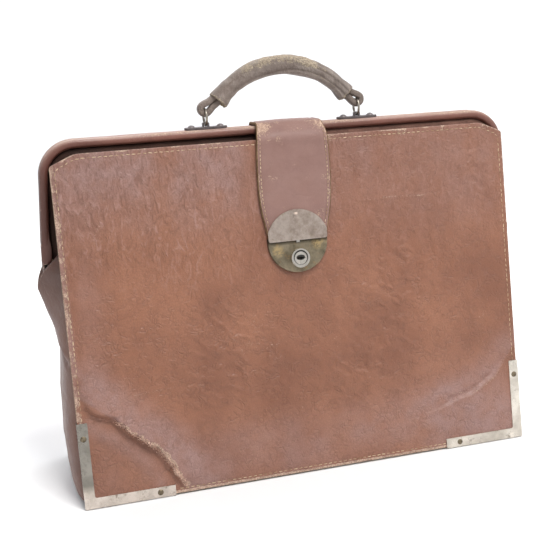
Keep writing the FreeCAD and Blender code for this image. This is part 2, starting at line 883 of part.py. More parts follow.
def handle_plate(side):
    """Oval plate on the back half of the frame, with a raised saddle over the ring's wire."""
    hand = "right" if side > 0 else "left"
    body = new_body(f"handle_plate_{hand}")
    top = size("frame_top")
    middle = place_x(side)
    half_length = size("plate_length") / 2
    half_width = size("plate_width") / 2
    depth = size("handle_depth")
    sketch = new_sketch(body, "XY_Plane", top)
    straight = half_length - half_width
    outline(sketch, [
        (middle - straight, depth - half_width),
        (middle + straight, depth - half_width, (middle + half_length, depth)),
        (middle + straight, depth + half_width),
        (middle - straight, depth + half_width, (middle - half_length, depth))])
    for sign in (-1, 1):
        circle(sketch, (middle + size("plate_rivet_reach") * sign, depth), size("plate_rivet_bore"))
    pad(body, sketch, size("plate_height"))
    face = top + size("plate_height")
    rise = size("wire_radius") * 2 + 1.0
    width = size("saddle_width")
    saddle = new_sketch(body, "XZ_Plane", -(depth - width / 2))
    inner = size("saddle_inner")
    outer = size("saddle_outer")
    outline(saddle, [
        (middle - outer, face), (middle - outer, face + rise),
        (middle - 2.2, face + rise + 0.7), (middle + 2.2, face + rise + 0.7),
        (middle + outer, face + rise), (middle + outer, face), (middle + inner, face),
        (middle + inner, face + rise - 0.4), (middle - inner, face + rise - 0.4),
        (middle - inner, face)])
    pad(body, saddle, width, reverse=True)


def handle_plate_rivets():
    """Four domed rivets, two through each handle plate into the frame."""
    rivet = domed_rivet(3.6, 2.2, 1.4, 8.0)
    rivet.rotate(Vector(), Vector(1, 0, 0), -90)
    z = read("frame_top") + read("plate_height")
    places = []
    for side in (-1, 1):
        for sign in (-1, 1):
            x = place_x(side).value + read("plate_rivet_reach") * sign
            places.append(Vector(x, read("handle_depth"), z))
    rivet_group("handle_plate_rivets", rivet, places, Placement())


def wire_torus(label, side, wire):
    torus = doc.addObject("Part::Torus", label)
    torus.Label = label
    torus.setExpression("Radius1", "Dimensions.ring_radius")
    torus.setExpression("Radius2", wire.text)
    torus.Placement = Placement(
        Vector(place_x(side).value, read("handle_depth"), read("ring_centre_z")),
        Rotation(Vector(0, 1, 0), 90))
    return torus


def arch_end():
    """Where the grip's middle line ends on the right, and the outward direction there."""
    half_sweep = math.radians(read("arch_sweep") / 2)
    outward = Vector(math.sin(half_sweep), 0, math.cos(half_sweep))
    centre = Vector(0, 0, read("arch_top_z") - read("arch_radius"))
    return centre + outward * read("arch_radius"), outward


def handle_eye(side):
    """Leather eye that links one end of the grip to its ring."""
    hand = "right" if side > 0 else "left"
    start, outward = arch_end()
    finish = Vector(read("ring_half_span"), 0, read("ring_centre_z") + read("ring_radius"))
    run = finish - start
    neck = outward * read("eye_neck_radius")
    broad = Vector(-run.z, 0, run.x).normalize() * read("eye_radius")
    outer = run.normalize() * read("eye_radius")
    edges = [
        Part.LineSegment(start - neck, finish - broad).toShape(),
        Part.Arc(finish - broad, finish + outer, finish + broad).toShape(),
        Part.LineSegment(finish + broad, start + neck).toShape(),
        Part.LineSegment(start + neck, start - neck).toShape(),
    ]
    half_thick = read("eye_half_thick")
    face = Part.Face(Part.Wire(edges))
    solid = face.extrude(Vector(0, 2 * half_thick, 0))
    solid.translate(Vector(0, -half_thick, 0))
    if side < 0:
        solid = solid.mirror(Vector(), Vector(1, 0, 0))
    blank = doc.addObject("Part::Feature", f"eye_blank_{hand}")
    blank.Shape = solid
    blank.Placement = Placement(Vector(read("handle_centre"), read("handle_depth"), 0),
                                Rotation())
    channel = wire_torus(f"eye_channel_{hand}", side, size("wire_radius") + 0.3)
    label = f"handle_eye_{hand}"
    eye = keep(doc.addObject("Part::Cut", label), label)
    eye.Base = blank
    eye.Tool = channel


def grip_piece(label, rings):
    """Sweep concentric ellipses round the handle's arc: one for a bar, two for a tube."""
    body = new_body(label)
    sketch = new_sketch(body, "YZ_Plane", size("handle_centre"))
    centre = Vector(read("handle_depth"), read("arch_top_z"), 0)
    for radius_y, radius_z in rings:
        tall = Vector(centre.x + radius_y.value, centre.y, 0)
        side = Vector(centre.x, centre.y + radius_z.value, 0)
        if radius_y.value == radius_z.value:
            circle(sketch, (size("handle_depth"), size("arch_top_z")), radius_y)
        else:
            sketch.addGeometry(Part.Ellipse(tall, side, centre), False)
    axis_z = read("arch_top_z") - read("arch_radius")
    sketch.addGeometry(Part.LineSegment(Vector(-20, axis_z, 0), Vector(20, axis_z, 0)), True)
    turn = body.newObject("PartDesign::Revolution", "sweep")
    turn.Profile = sketch
    turn.ReferenceAxis = (sketch, ["Axis0"])
    turn.setExpression("Angle", "Dimensions.arch_sweep")
    turn.Midplane = True
    doc.recompute()


# ---------------------------------------------------------------- the whole bag

for is_back in (False, True):
    panel_layer("leather", is_back, 0.0, LEATHER)
    panel_layer("board", is_back, LEATHER, size("board_thick"))
    panel_layer("lining", is_back, LEATHER + size("board_thick"), size("lining_thick"))
    for hand_side in (-1, 1):
        corner_guard(is_back, hand_side)
        gusset_web(is_back, hand_side)
    guard_rivets(is_back)
    frame_cover(is_back)
    frame_bar(is_back)
    hinge_strip(is_back)

base_layer("base_leather", 0.0, size("base_leather_thick"), 0.0)
base_layer("base_board", size("base_leather_thick"), size("base_board_thick"), 1.0)
base_layer("base_lining", size("base_leather_thick") + size("base_board_thick"),
           size("base_lining_thick"), 1.0)

strap_leather()
strap_rivets()
hasp_plate()
hasp_rivet()
hasp_staple()
lock_plate()
lock_barrel()
lock_plug()
lock_case()
lock_bolt()

for hand_side in (-1, 1):
    gusset(hand_side)
    hinge_pin(hand_side)
    handle_plate(hand_side)
    handle_eye(hand_side)
    ring_label = "handle_ring_right" if hand_side > 0 else "handle_ring_left"
    keep(wire_torus(ring_label, hand_side, size("wire_radius")), ring_label)
handle_plate_rivets()
grip_piece("handle_wrap", [(size("grip_radius_y"), size("grip_radius_z")),
                           (size("core_radius"), size("core_radius"))])
grip_piece("handle_core", [(size("core_radius") - 0.02, size("core_radius") - 0.02)])

# ---------------------------------------------------------------- check and write

doc.recompute()
for item in doc.Objects:
    if "Invalid" in item.State or "Error" in item.State:
        raise ValueError(f"{item.Label} failed to build: {item.State}")
for part in PARTS:
    if part.Shape.isNull() or not part.Shape.isValid():
        raise ValueError(f"{part.Label} has no valid shape")

os.makedirs("parts", exist_ok=True)
for part in PARTS:
    part.Shape.exportStep(os.path.join("parts", part.Label + ".step"))
    print(f"{part.Label:28s} {len(part.Shape.Solids)} solids {part.Shape.Volume:10.1f} mm3")
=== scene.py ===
import json
import math

import bpy
import numpy as np
from mathutils import Euler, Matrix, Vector


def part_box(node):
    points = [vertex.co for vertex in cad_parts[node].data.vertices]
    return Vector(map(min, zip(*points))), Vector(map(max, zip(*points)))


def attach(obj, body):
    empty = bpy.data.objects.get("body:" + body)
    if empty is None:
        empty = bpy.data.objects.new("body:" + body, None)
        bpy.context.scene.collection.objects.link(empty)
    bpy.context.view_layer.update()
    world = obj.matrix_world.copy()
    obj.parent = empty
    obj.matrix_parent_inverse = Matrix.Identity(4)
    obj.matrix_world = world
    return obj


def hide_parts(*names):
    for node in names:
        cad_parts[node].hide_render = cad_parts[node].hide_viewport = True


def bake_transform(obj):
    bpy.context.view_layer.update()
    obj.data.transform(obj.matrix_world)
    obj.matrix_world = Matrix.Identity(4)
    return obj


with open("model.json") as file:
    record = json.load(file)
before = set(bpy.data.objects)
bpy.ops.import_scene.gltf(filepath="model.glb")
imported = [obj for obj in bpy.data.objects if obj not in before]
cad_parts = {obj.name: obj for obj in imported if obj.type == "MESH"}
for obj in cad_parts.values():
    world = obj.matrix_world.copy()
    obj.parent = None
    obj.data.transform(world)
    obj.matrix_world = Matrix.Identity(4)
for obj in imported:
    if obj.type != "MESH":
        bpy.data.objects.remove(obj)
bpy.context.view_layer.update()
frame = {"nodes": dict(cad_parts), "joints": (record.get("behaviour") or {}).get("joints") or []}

# An old doctor bag in reddish brown leather. Metres, in the frame's own axes: +X is the bag's right,
# +Y its back, +Z up. Sizes below are millimetres times MM.

MM = 0.001
JOINT_PLACE = {j["name"]: Vector(j["pos_m"]) for j in frame["joints"] if "pos_m" in j}
FRONT, BACK = -1, 1
SIDE_NAME = {FRONT: "front", BACK: "back"}
HAND_NAME = {-1: "left", 1: "right"}

LEATHER_THICK = 2.2 * MM
BOARD_THICK = 1.8 * MM
LINING_THICK = 1.2 * MM
PANEL_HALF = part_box("front_panel_leather")[1].x
PANEL_HEIGHT = (JOINT_PLACE["front_frame_fold"] - JOINT_PLACE["front_panel_tilt"]).length
CORNER_RUN = 22.0 * MM
CORNER_DROP = 9.5 * MM
SEAM_INSET = 4.2 * MM
STITCH_PITCH = 4.9 * MM
STITCH_SHARE = 0.67
STITCH_RADIUS = 0.36 * MM
STITCH_RISE = 0.18 * MM
FIBRE_RADIUS = 0.16 * MM
WAVE_DEPTH = 0.9 * MM
RIPPLE_DEPTH = 0.16 * MM
WRINKLE_DEPTH = 0.34 * MM
CRUMPLE_DEPTH = 0.95 * MM
SEAM_DEPTH = 0.35 * MM
FACE_PITCH = 1.45 * MM
CLOTH_PITCH = 5.0 * MM
# millimetres from a sheet's edge to the first lines of its grid, where the edge is rounded
EDGE_LINES = (0.0, 0.25, 0.6, 1.2)


# ---------------------------------------------------------------- numbers

def smooth(low, high, value):
    """0 below low, 1 above high, and a smooth step between."""
    share = np.clip((value - low) / (high - low), 0.0, 1.0)
    return share * share * (3.0 - 2.0 * share)


def bell(distance, width):
    return np.exp(-(distance / width) ** 2)


LATTICE = 64


def bumps(u, v, cell, seed):
    """Smooth random height from -1 to 1 over a plane, with bumps about one cell across."""
    lattice = np.random.default_rng(seed).uniform(-1.0, 1.0, (LATTICE, LATTICE))
    x, y = np.asarray(u) / cell, np.asarray(v) / cell
    column, row = np.floor(x).astype(int), np.floor(y).astype(int)
    fx, fy = smooth(0.0, 1.0, x - column), smooth(0.0, 1.0, y - row)
    near, far = column % LATTICE, (column + 1) % LATTICE
    low, high = row % LATTICE, (row + 1) % LATTICE
    bottom = lattice[near, low] * (1 - fx) + lattice[far, low] * fx
    top = lattice[near, high] * (1 - fx) + lattice[far, high] * fx
    return bottom * (1 - fy) + top * fy


def ragged(u, v, cell, seed, octaves=3):
    """Bumps with finer bumps on them."""
    total = 0.0
    for octave in range(octaves):
        total = total + bumps(u, v, cell / 2 ** octave, seed + octave) / 2 ** octave
    return total


def path_distance(x, z, points):
    """Distance to a chain of points, the same with a minus sign on its right, and the share along it."""
    best = np.full(np.shape(x), np.inf)
    side = np.zeros(np.shape(x))
    share = np.zeros(np.shape(x))
    lengths = [math.dist(a, b) for a, b in zip(points, points[1:])]
    done = 0.0
    for (start, end, length) in zip(points, points[1:], lengths):
        along = ((x - start[0]) * (end[0] - start[0]) + (z - start[1]) * (end[1] - start[1])) / length
        held = np.clip(along, 0.0, length)
        px = start[0] + (end[0] - start[0]) * held / length
        pz = start[1] + (end[1] - start[1]) * held / length
        distance = np.hypot(x - px, z - pz)
        turn = (end[0] - start[0]) * (z - start[1]) - (end[1] - start[1]) * (x - start[0])
        nearer = distance < best
        best = np.where(nearer, distance, best)
        side = np.where(nearer, np.sign(turn), side)
        share = np.where(nearer, (done + held) / sum(lengths), share)
        done += length
    return best, best * side, share


def rounded(points, radii, closed=False, step=1.2 * MM):
    """A flat chain of points with its corners rounded, as many close points."""
    count = len(points)
    chain = []
    for i, (point, radius) in enumerate(zip(points, radii)):
        here = Vector(point)
        if radius == 0 or (not closed and i in (0, count - 1)):
            chain.append(here)
            continue
        back = (Vector(points[i - 1]) - here).normalized()
        ahead = (Vector(points[(i + 1) % count]) - here).normalized()
        half = back.angle(ahead) / 2
        reach = radius / math.tan(half)
        middle = here + (back + ahead).normalized() * (radius / math.sin(half))
        first = here + back * reach - middle
        last = here + ahead * reach - middle
        turn = first.angle(last)
        pieces = max(3, int(radius * turn / step))
        for k in range(pieces + 1):
            near = math.sin((1 - k / pieces) * turn) / math.sin(turn)
            far = math.sin(k / pieces * turn) / math.sin(turn)
            chain.append(middle + first * near + last * far)
    if closed:
        chain.append(chain[0])
    return np.array([tuple(p) for p in chain])


def travelled(chain):
    """How far along a chain of points each of them lies."""
    steps = np.linalg.norm(np.diff(chain, axis=0), axis=1)
    return np.concatenate([[0.0], np.cumsum(steps)])


def between(chain, along, wanted):
    """The places at the wanted distances on a chain whose points lie at the distances in along."""
    return np.stack([np.interp(wanted, along, column) for column in chain.T], axis=1)


def resample(chain, spacing):
    """Points at even spacing along a chain, with its length divided evenly."""
    chain = np.asarray(chain, float)
    along = travelled(chain)
    count = max(2, int(round(along[-1] / spacing)) + 1)
    return between(chain, along, np.linspace(0.0, along[-1], count))


def stops(low, high, pitch):
    """Grid lines from low to high, close together at both ends."""
    near = np.array(EDGE_LINES) * MM
    inner = np.linspace(low + near[-1] + pitch / 2, high - near[-1] - pitch / 2,
                        max(2, int((high - low) / pitch)))
    return np.concatenate([low + near, inner, (high - near)[::-1]])


# ---------------------------------------------------------------- meshes

def unit_rows(vectors):
    return vectors / np.linalg.norm(vectors, axis=1)[:, None]


def xyz(x, y, z):
    """Points from their coordinates, each of which is an array or one number for all."""
    return np.stack(np.broadcast_arrays(x, y, z), axis=-1)


def place_object(name, data):
    piece = bpy.data.objects.new(name, data)
    bpy.context.scene.collection.objects.link(piece)
    return piece


def new_piece(name, points, faces, finishes, face_finishes=None, flip=False):
    """A smooth mesh object with materials from the table of finishes. flip turns all its faces round."""
    if flip:
        faces = [tuple(reversed(f)) for f in faces]
    mesh = bpy.data.meshes.new(name)
    mesh.from_pydata([tuple(p) for p in np.reshape(points, (-1, 3))], [], faces)
    for finish in finishes:
        mesh.materials.append(MATERIAL[finish])
    if face_finishes is not None:
        mesh.polygons.foreach_set("material_index", np.asarray(face_finishes, np.int32))
    mesh.polygons.foreach_set("use_smooth", np.ones(len(mesh.polygons), bool))
    mesh.update()
    return place_object(name, mesh)


def paint(piece, **values):
    """Numbers that a material reads by name: one for each vertex, or fewer that repeat."""
    count = len(piece.data.vertices)
    for name, value in values.items():
        attribute = piece.data.attributes.new(name, "FLOAT", "POINT")
        attribute.data.foreach_set("value", np.resize(np.asarray(value, np.float32), count))


def grid_faces(rows, columns, around=False, first=0):
    """Quads over a grid of points stored row by row. around joins the last column to the first."""
    faces = []
    for i in range(rows - 1):
        here, above = first + i * columns, first + (i + 1) * columns
        for j in range(columns if around else columns - 1):
            k = (j + 1) % columns
            faces.append((here + j, here + k, above + k, above + j))
    return faces


def grid_border(rows, columns):
    """The numbers of the points that run once round a grid's edge."""
    return (list(range(columns)) + [i * columns - 1 for i in range(2, rows + 1)]
            + [(rows - 1) * columns + j for j in range(columns - 2, -1, -1)]
            + [i * columns for i in range(rows - 2, 0, -1)])


def wall_faces(upper, lower):
    """Quads between two closed rings of point numbers."""
    upper_next, lower_next = upper[1:] + upper[:1], lower[1:] + lower[:1]
    return list(zip(upper, lower, lower_next, upper_next))


def tube_faces(rows, columns, first=0):
    """A tube's quads and the cap at each of its ends."""
    last = first + (rows - 1) * columns
    caps = [tuple(reversed(range(first, first + columns))), tuple(range(last, last + columns))]
    return grid_faces(rows, columns, around=True, first=first) + caps


def carried(path, across, up, rings):
    """Points of the rings, chains of (across, up) offsets, set round the points of a path."""
    return path[:, None] + rings[..., :1] * across[:, None] + rings[..., 1:] * up[:, None]


def tube(name, path, across, up, rings, finishes):
    """A closed solid with one ring at each point of a path."""
    return new_piece(name, carried(path, across, up, rings), tube_faces(*rings.shape[:2]), finishes)


def oval(half_across, half_up, power=2.0, count=28):
    """A ring between an ellipse (power 2) and a rounded box (higher powers)."""
    angle = np.linspace(0.0, 2 * math.pi, count, endpoint=False)
    c, s = np.cos(angle), np.sin(angle)
    return np.stack([half_across * np.sign(c) * np.abs(c) ** (2 / power),
                     half_up * np.sign(s) * np.abs(s) ** (2 / power)], axis=1)


def path_frames(path, normal):
    """For a path in the plane that normal is square to: the directions across and up at each point."""
    across = np.tile(np.asarray(normal, float), (len(path), 1))
    return across, np.cross(unit_rows(np.gradient(path, axis=0)), across)


def soften(piece, width):
    """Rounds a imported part's edges a little, so that they catch the light."""
    bevel = piece.modifiers.new("edges", "BEVEL")
    bevel.width = width
    bevel.segments = 2
    bevel.limit_method = "ANGLE"
    bevel.angle_limit = math.radians(40)
    bevel.harden_normals = False


def strand(points, faces, spine, normal, radius, ends, sides):
    """Adds a thin round strand along a spine, thinner towards its ends."""
    first = len(points)
    axis = spine[-1] - spine[0]
    axis = axis / np.linalg.norm(axis)
    sideways = np.cross(axis, normal)
    sideways = sideways / np.linalg.norm(sideways)
    upward = np.cross(sideways, axis)
    for k, centre in enumerate(spine):
        share = k / (len(spine) - 1)
        swell = ends + (1 - ends) * math.sin(math.pi * share) ** 0.5
        for s in range(sides):
            angle = 2 * math.pi * s / sides
            points.append(centre + (sideways * math.cos(angle) + upward * math.sin(angle)) * radius * swell)
    faces += tube_faces(len(spine), sides, first)


def stitches(name, chain, at, body, seed, pitch=STITCH_PITCH, skip=None):
    """Thread along a chain of flat places. at(places) gives points in space and the outward way there."""
    rng = np.random.default_rng(seed)
    places = resample(chain, pitch)
    points, faces = [], []
    for start, end in zip(places, places[1:]):
        middle = (start + end) / 2
        if skip is not None and skip(*middle):
            continue
        run = end - start
        share = STITCH_SHARE / 2 * rng.uniform(0.88, 1.08)
        cross = np.array([-run[1], run[0]]) * rng.uniform(-0.06, 0.06)
        ends, normals = at(np.array([middle - run * share - cross, middle + run * share + cross]))
        normal = normals.mean(axis=0)
        spine = [ends[0] * (1 - t) + ends[1] * t + normal * STITCH_RISE * math.sin(math.pi * t)
                 for t in np.linspace(0, 1, 5)]
        strand(points, faces, spine, normal, STITCH_RADIUS * rng.uniform(0.85, 1.1), ends=0.6, sides=6)
    piece = new_piece(name, points, faces, ["thread"])
    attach(piece, body)


def fibres(name, places, at, body, seed, reach, lean):
    """Short torn fibres that stand from a worn line. lean is the flat way most of them point."""
    rng = np.random.default_rng(seed)
    points, faces = [], []
    for place in places:
        angle = rng.uniform(0, 2 * math.pi)
        way = np.array([math.cos(angle), math.sin(angle)]) * 0.8 + np.asarray(lean)
        way /= np.linalg.norm(way)
        length = reach * rng.uniform(0.35, 1.0)
        ends, normals = at(np.array([place - way * length * 0.2, place + way * length * 0.8]))
        rise = rng.uniform(0.15, 0.6) * length
        spine = [ends[0] * (1 - t) + ends[1] * t + normals[0] * rise * t ** 1.5 for t in (0, 0.35, 0.7, 1.0)]
        strand(points, faces, spine, normals[0], FIBRE_RADIUS * rng.uniform(0.6, 1.3), ends=0.3, sides=4)
    piece = new_piece(name, points, faces, ["fibre"])
    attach(piece, body)


# ---------------------------------------------------------------- materials

def colour(red, green, blue):
    """An sRGB colour from 0 to 255 as linear light."""
    shares = [part / 255 for part in (red, green, blue)]
    return (*(s / 12.92 if s <= 0.04045 else ((s + 0.055) / 1.055) ** 2.4 for s in shares), 1.0)


def shaded(tint, scale, lift=0.0):
    """A linear colour made darker or paler."""
    return (*(min(1.0, scale * part + lift) for part in tint[:3]), 1.0)


class Recipe:
    """A material's node tree, built a step at a time. A size is in metres, for all axes or for each."""

    def __init__(self, name, rough=0.5, metal=0.0, specular=0.5):
        self.material = bpy.data.materials.new(name)
        self.material.use_nodes = True
        self.nodes = self.material.node_tree.nodes
        self.link = self.material.node_tree.links.new
        self.shader = self.nodes["Principled BSDF"]
        for socket, value in (("Roughness", rough), ("Metallic", metal), ("Specular IOR Level", specular)):
            self.shader.inputs[socket].default_value = value
        self.place = self.node("TexCoord").outputs["Object"]

    def give(self, socket, value):
        """Joins a socket to another one, or sets it to a plain value."""
        if isinstance(value, bpy.types.NodeSocket):
            self.link(value, socket)
        else:
            socket.default_value = value

    def node(self, kind, operation=None, **inputs):
        """A new node with these inputs. Their names have underscores for spaces."""
        node = self.nodes.new("ShaderNode" + kind)
        if operation is not None:
            node.operation = operation
        for name, value in inputs.items():
            self.give(node.inputs[name.replace("_", " ")], value)
        return node

    def scaled(self, size, offset=(0.0, 0.0, 0.0)):
        """Object coordinates in which one size is one unit."""
        size = (size,) * 3 if isinstance(size, float) else size
        scale = [1 / s for s in size]
        return self.node("Mapping", Vector=self.place, Scale=scale, Location=offset).outputs["Vector"]

    def noise(self, size, detail=4.0, rough=0.55, distortion=0.0, offset=(0.0, 0.0, 0.0)):
        return self.node("TexNoise", Vector=self.scaled(size, offset), Scale=1.0, Detail=detail,
                         Roughness=rough, Distortion=distortion).outputs["Fac"]

    def cells(self, size, wobble):
        """How far it is to the nearest edge of Voronoi cells whose edges are bent by noise."""
        vector = self.scaled(size)
        bend = self.node("TexNoise", Vector=vector, Scale=0.8, Detail=2.0)
        bent = self.node("VectorMath", "MULTIPLY_ADD")
        for socket, value in zip(bent.inputs, (bend.outputs["Color"], (wobble,) * 3, vector)):
            self.give(socket, value)
        node = self.node("TexVoronoi", Vector=bent.outputs[0], Scale=1.0)
        node.feature = "DISTANCE_TO_EDGE"
        return node.outputs["Distance"]

    def ramp(self, value, low, high, at_low=0.0, at_high=1.0):
        """at_low where value is low, at_high where it is high, and even between."""
        return self.node("MapRange", Value=value, From_Min=low, From_Max=high, To_Min=at_low,
                         To_Max=at_high).outputs["Result"]

    def maths(self, operation, first, second):
        node = self.node("Math", operation)
        self.give(node.inputs[0], first)
        self.give(node.inputs[1], second)
        return node.outputs[0]

    def vector_maths(self, operation, first, second=(0.0, 0.0, 0.0)):
        node = self.node("VectorMath", operation)
        self.give(node.inputs[0], first)
        self.give(node.inputs[1], second)
        return node.outputs["Value" if operation in ("LENGTH", "DOT_PRODUCT") else "Vector"]

    def off_axis(self, point, axis):
        """How far a place is from the line through point along axis."""
        away = self.vector_maths("SUBTRACT", self.place, point)
        return self.vector_maths("LENGTH", self.vector_maths("CROSS_PRODUCT", away, axis))

    def attribute(self, name):
        node = self.node("Attribute")
        node.attribute_name = name
        return node.outputs["Fac"]

    def height(self):
        return self.node("SeparateXYZ", Vector=self.place).outputs["Z"]

    def mix(self, share, first, second):
        """A colour between first and second. Each is a colour or a socket."""
        node = self.node("Mix")
        node.data_type = "RGBA"
        self.give(node.inputs["Factor"], share)
        self.give(node.inputs[6], first)
        self.give(node.inputs[7], second)
        return node.outputs[2]

    def set(self, socket, value):
        self.link(value, self.shader.inputs[socket])

    def bump(self, height, distance):
        """Adds a bump of this height on top of those already there."""
        node = self.node("Bump", Height=height, Distance=distance)
        old = self.shader.inputs["Normal"]
        if old.is_linked:
            self.link(old.links[0].from_socket, node.inputs["Normal"])
        self.link(node.outputs["Normal"], old)


def leather(name, light, dark, mauve, vein=6.0, vein_depth=0.3, grain=(1.8, 1.8, 2.3), grain_depth=0.14,
            rough=0.46, contrast=1.0, specular=0.5, shade_by_height=None, raw=((136, 108, 94), (196, 168, 148))):
    """Old pebbled leather. Sizes are in millimetres. It reads three painted values: wear, where the raw
    leather shows in specks, a painted sheen that pales the colour towards the mauve tint, and streak, where
    long wrinkles run. The long wrinkles are painted darker in their hollows and paler on their crests, as
    painted shade and highlight.

    dim paints shade by height: it gives the height of full shade, the height where it has faded out, and how
    strong it is."""
    r = Recipe(name, rough=rough, specular=specular)
    light, dark, mauve = colour(*light), colour(*dark), colour(*mauve)
    deep, pale = shaded(dark, 0.55), shaded(mauve, 1.35, 0.02)
    vein = (vein,) * 3 if isinstance(vein, float) else vein
    broad = r.noise(0.075, detail=3.0, rough=0.55)
    patch = r.noise(0.02, detail=6.0, rough=0.65, offset=(3.1, 0.4, 1.7))
    veins = r.ramp(r.cells([v * MM for v in vein], 3.2), 0.0, 0.24)
    veins = r.maths("MAXIMUM", veins, r.ramp(r.noise(0.011, detail=3.0), 0.36, 0.58, 1.0, 0.0))
    pebbles = r.cells([g * MM for g in grain], 0.9)
    fold = r.noise((5.0 * MM, 5.0 * MM, 12.0 * MM), detail=4.0, rough=0.56, distortion=1.4)
    fine = r.noise(0.0012, detail=4.0, rough=0.65)
    streak = r.attribute("streak")
    calm = r.ramp(streak, 0.0, 1.0, 1.0, 0.35)
    base = r.mix(r.ramp(broad, 0.36, 0.64), dark, light)
    # painted sheen: the colour pales towards the mauve tint, in patches, where the painted sheen value is
    # high
    hazed = r.maths("MULTIPLY", r.attribute("haze"), r.ramp(patch, 0.3, 0.62, 0.35, 1.0))
    base = r.mix(hazed, base, mauve)
    lines = r.maths("MULTIPLY", r.ramp(veins, 0.6, 0.0, 0.0, 0.22 * contrast), calm)
    base = r.mix(lines, base, deep)
    base = r.mix(r.ramp(pebbles, 0.16, 0.0, 0.0, 0.28 * contrast), base, deep)
    # painted shade in the long wrinkles' hollows, and painted highlight on their crests
    base = r.mix(r.maths("MULTIPLY", streak, r.ramp(fold, 0.47, 0.34, 0.0, 0.38)), base, deep)
    base = r.mix(r.maths("MULTIPLY", streak, r.ramp(fold, 0.54, 0.68, 0.0, 0.36)), base, pale)
    # painted shade, strongest at one height and fading out by another
    if shade_by_height is not None:
        full, none, share = shade_by_height
        base = r.mix(r.ramp(r.height(), full, none, share, 0.0), base, deep)
    speck = r.noise(0.0034, detail=7.0, rough=0.85, offset=(7.0, 2.0, 5.0))
    speck = r.maths("MULTIPLY", r.ramp(speck, 0.66, 0.72), r.ramp(broad, 0.45, 0.62, 0.15, 0.8))
    base = r.mix(speck, base, pale)
    fray = r.noise(0.0024, detail=8.0, rough=0.85, offset=(1.0, 6.0, 2.0))
    bare = r.maths("ADD", r.attribute("wear"), r.ramp(fray, 0.3, 0.7, -0.9, 0.2))
    bare = r.ramp(bare, 0.0, 0.22)
    base = r.mix(bare, base, r.mix(r.ramp(fine, 0.38, 0.62), colour(*raw[0]), colour(*raw[1])))
    r.set("Base Color", base)
    gloss = r.ramp(patch, 0.3, 0.7, rough - 0.1, rough + 0.12)
    r.set("Roughness", r.maths("ADD", gloss, r.ramp(bare, 0.0, 1.0, 0.0, 0.3)))
    r.bump(r.maths("MULTIPLY", veins, calm), vein_depth * MM)
    r.bump(r.maths("MULTIPLY", fold, streak), 2.0 * MM)
    r.bump(pebbles, grain_depth * MM)
    r.bump(fine, 0.07 * MM)
    r.bump(bare, 0.12 * MM)
    return r.material


def raw_edge(name, light=(164, 146, 108), dark=(112, 92, 62), grime=0.6):
    """The cut edge of leather or fibre board: pale, dry and layered."""
    r = Recipe(name, rough=0.85, specular=0.25)
    layers = r.noise((0.004, 0.0009, 0.004), detail=4.0)
    blotch = r.noise(0.009, detail=4.0, offset=(2.0, 1.0, 4.0))
    base = r.mix(r.ramp(layers, 0.35, 0.65), colour(*dark), colour(*light))
    base = r.mix(r.ramp(blotch, 0.5, 0.75, 0.0, grime), base, colour(92, 64, 46))
    r.set("Base Color", base)
    r.bump(layers, 0.25 * MM)
    return r.material


def thread():
    """Waxed linen thread, twisted."""
    r = Recipe("linen_thread", rough=0.75, specular=0.3)
    dirt = r.noise(0.007, detail=3.0)
    r.set("Base Color", r.mix(r.ramp(dirt, 0.38, 0.66), colour(150, 122, 94), colour(216, 194, 164)))
    r.bump(r.noise(0.0005, detail=2.0), 0.1 * MM)
    return r.material


def metal(name, bright, dull, rough, pits=0.0, size=0.006, stain=None, shiny=1.0, shade=None, shadow_mask=None,
          gilt=None):
    """Old metal: bright where rubbed, duller in patches, with pits and stains.

    shade is the colour of a painted darker reflection and the height above which the metal takes it.
    marks(recipe) gives how dark painted shade and shadow make a place, and gilt(recipe) how golden."""
    r = Recipe(name, rough=rough, metal=shiny, specular=0.5)
    patch = r.noise(size, detail=6.0, rough=0.65)
    base = r.mix(r.ramp(patch, 0.38, 0.66), colour(*bright), colour(*dull))
    if stain is not None:
        spots = r.noise(size * 0.45, detail=7.0, rough=0.75, offset=(5.0, 1.0, 3.0))
        base = r.mix(r.ramp(spots, 0.56, 0.7, 0.0, 0.85), base, colour(*stain))
    # painted shade: a darker reflection over the part above the given height
    if shade is not None:
        tint, above = shade
        base = r.mix(r.ramp(r.height(), above, above + 6 * MM, 0.0, 0.8), base, colour(*tint))
    if gilt is not None:
        base = r.mix(gilt(r), base, colour(214, 184, 128))
    # painted shade and shadow, in a near-black colour
    if shadow_mask is not None:
        base = r.mix(shadow_mask(r), base, colour(34, 30, 26))
    r.set("Base Color", base)
    r.set("Roughness", r.ramp(patch, 0.35, 0.7, rough - 0.07, rough + 0.2))
    if pits:
        r.bump(r.noise(size * 0.18, detail=5.0, rough=0.7), pits * MM)
    scratch = r.noise((0.0004, 0.0004, 0.012), detail=2.0, offset=(1.0, 1.0, 1.0))
    r.bump(scratch, 0.02 * MM)
    return r.material


def cloth(name, light, dark):
    """A plain woven lining."""
    r = Recipe(name, rough=0.9, specular=0.2)
    stain = r.noise(0.03, detail=4.0)
    r.set("Base Color", r.mix(r.ramp(stain, 0.35, 0.7), colour(*light), colour(*dark)))
    r.bump(r.noise(0.0009, detail=1.0), 0.15 * MM)
    return r.material


def plain_pale(name, tint):
    r = Recipe(name, rough=0.9, specular=0.15)
    drift = r.noise(0.4, detail=2.0)
    near = colour(*tint)
    r.set("Base Color", r.mix(r.ramp(drift, 0.3, 0.7), near, shaded(near, 0.985)))
    return r.material


LOCK_FACE = sum(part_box("lock_plug"), Vector()) / 2
# the lock's face leans back with the front panel
LOCK_LEAN = math.radians(8.0)
LOCK_AXIS = Vector((0.0, -math.cos(LOCK_LEAN), math.sin(LOCK_LEAN)))
LOCK_UP = Vector((0.0, math.sin(LOCK_LEAN), math.cos(LOCK_LEAN)))


HASP_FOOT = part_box("hasp_plate")[0].z


def bezel_groove_shade(r):
    """Painted shade in the groove: the dark ring between the bezel and the plug."""
    return r.ramp(r.off_axis(LOCK_FACE, LOCK_AXIS), 6.5 * MM, 7.1 * MM, 0.95, 0.0)


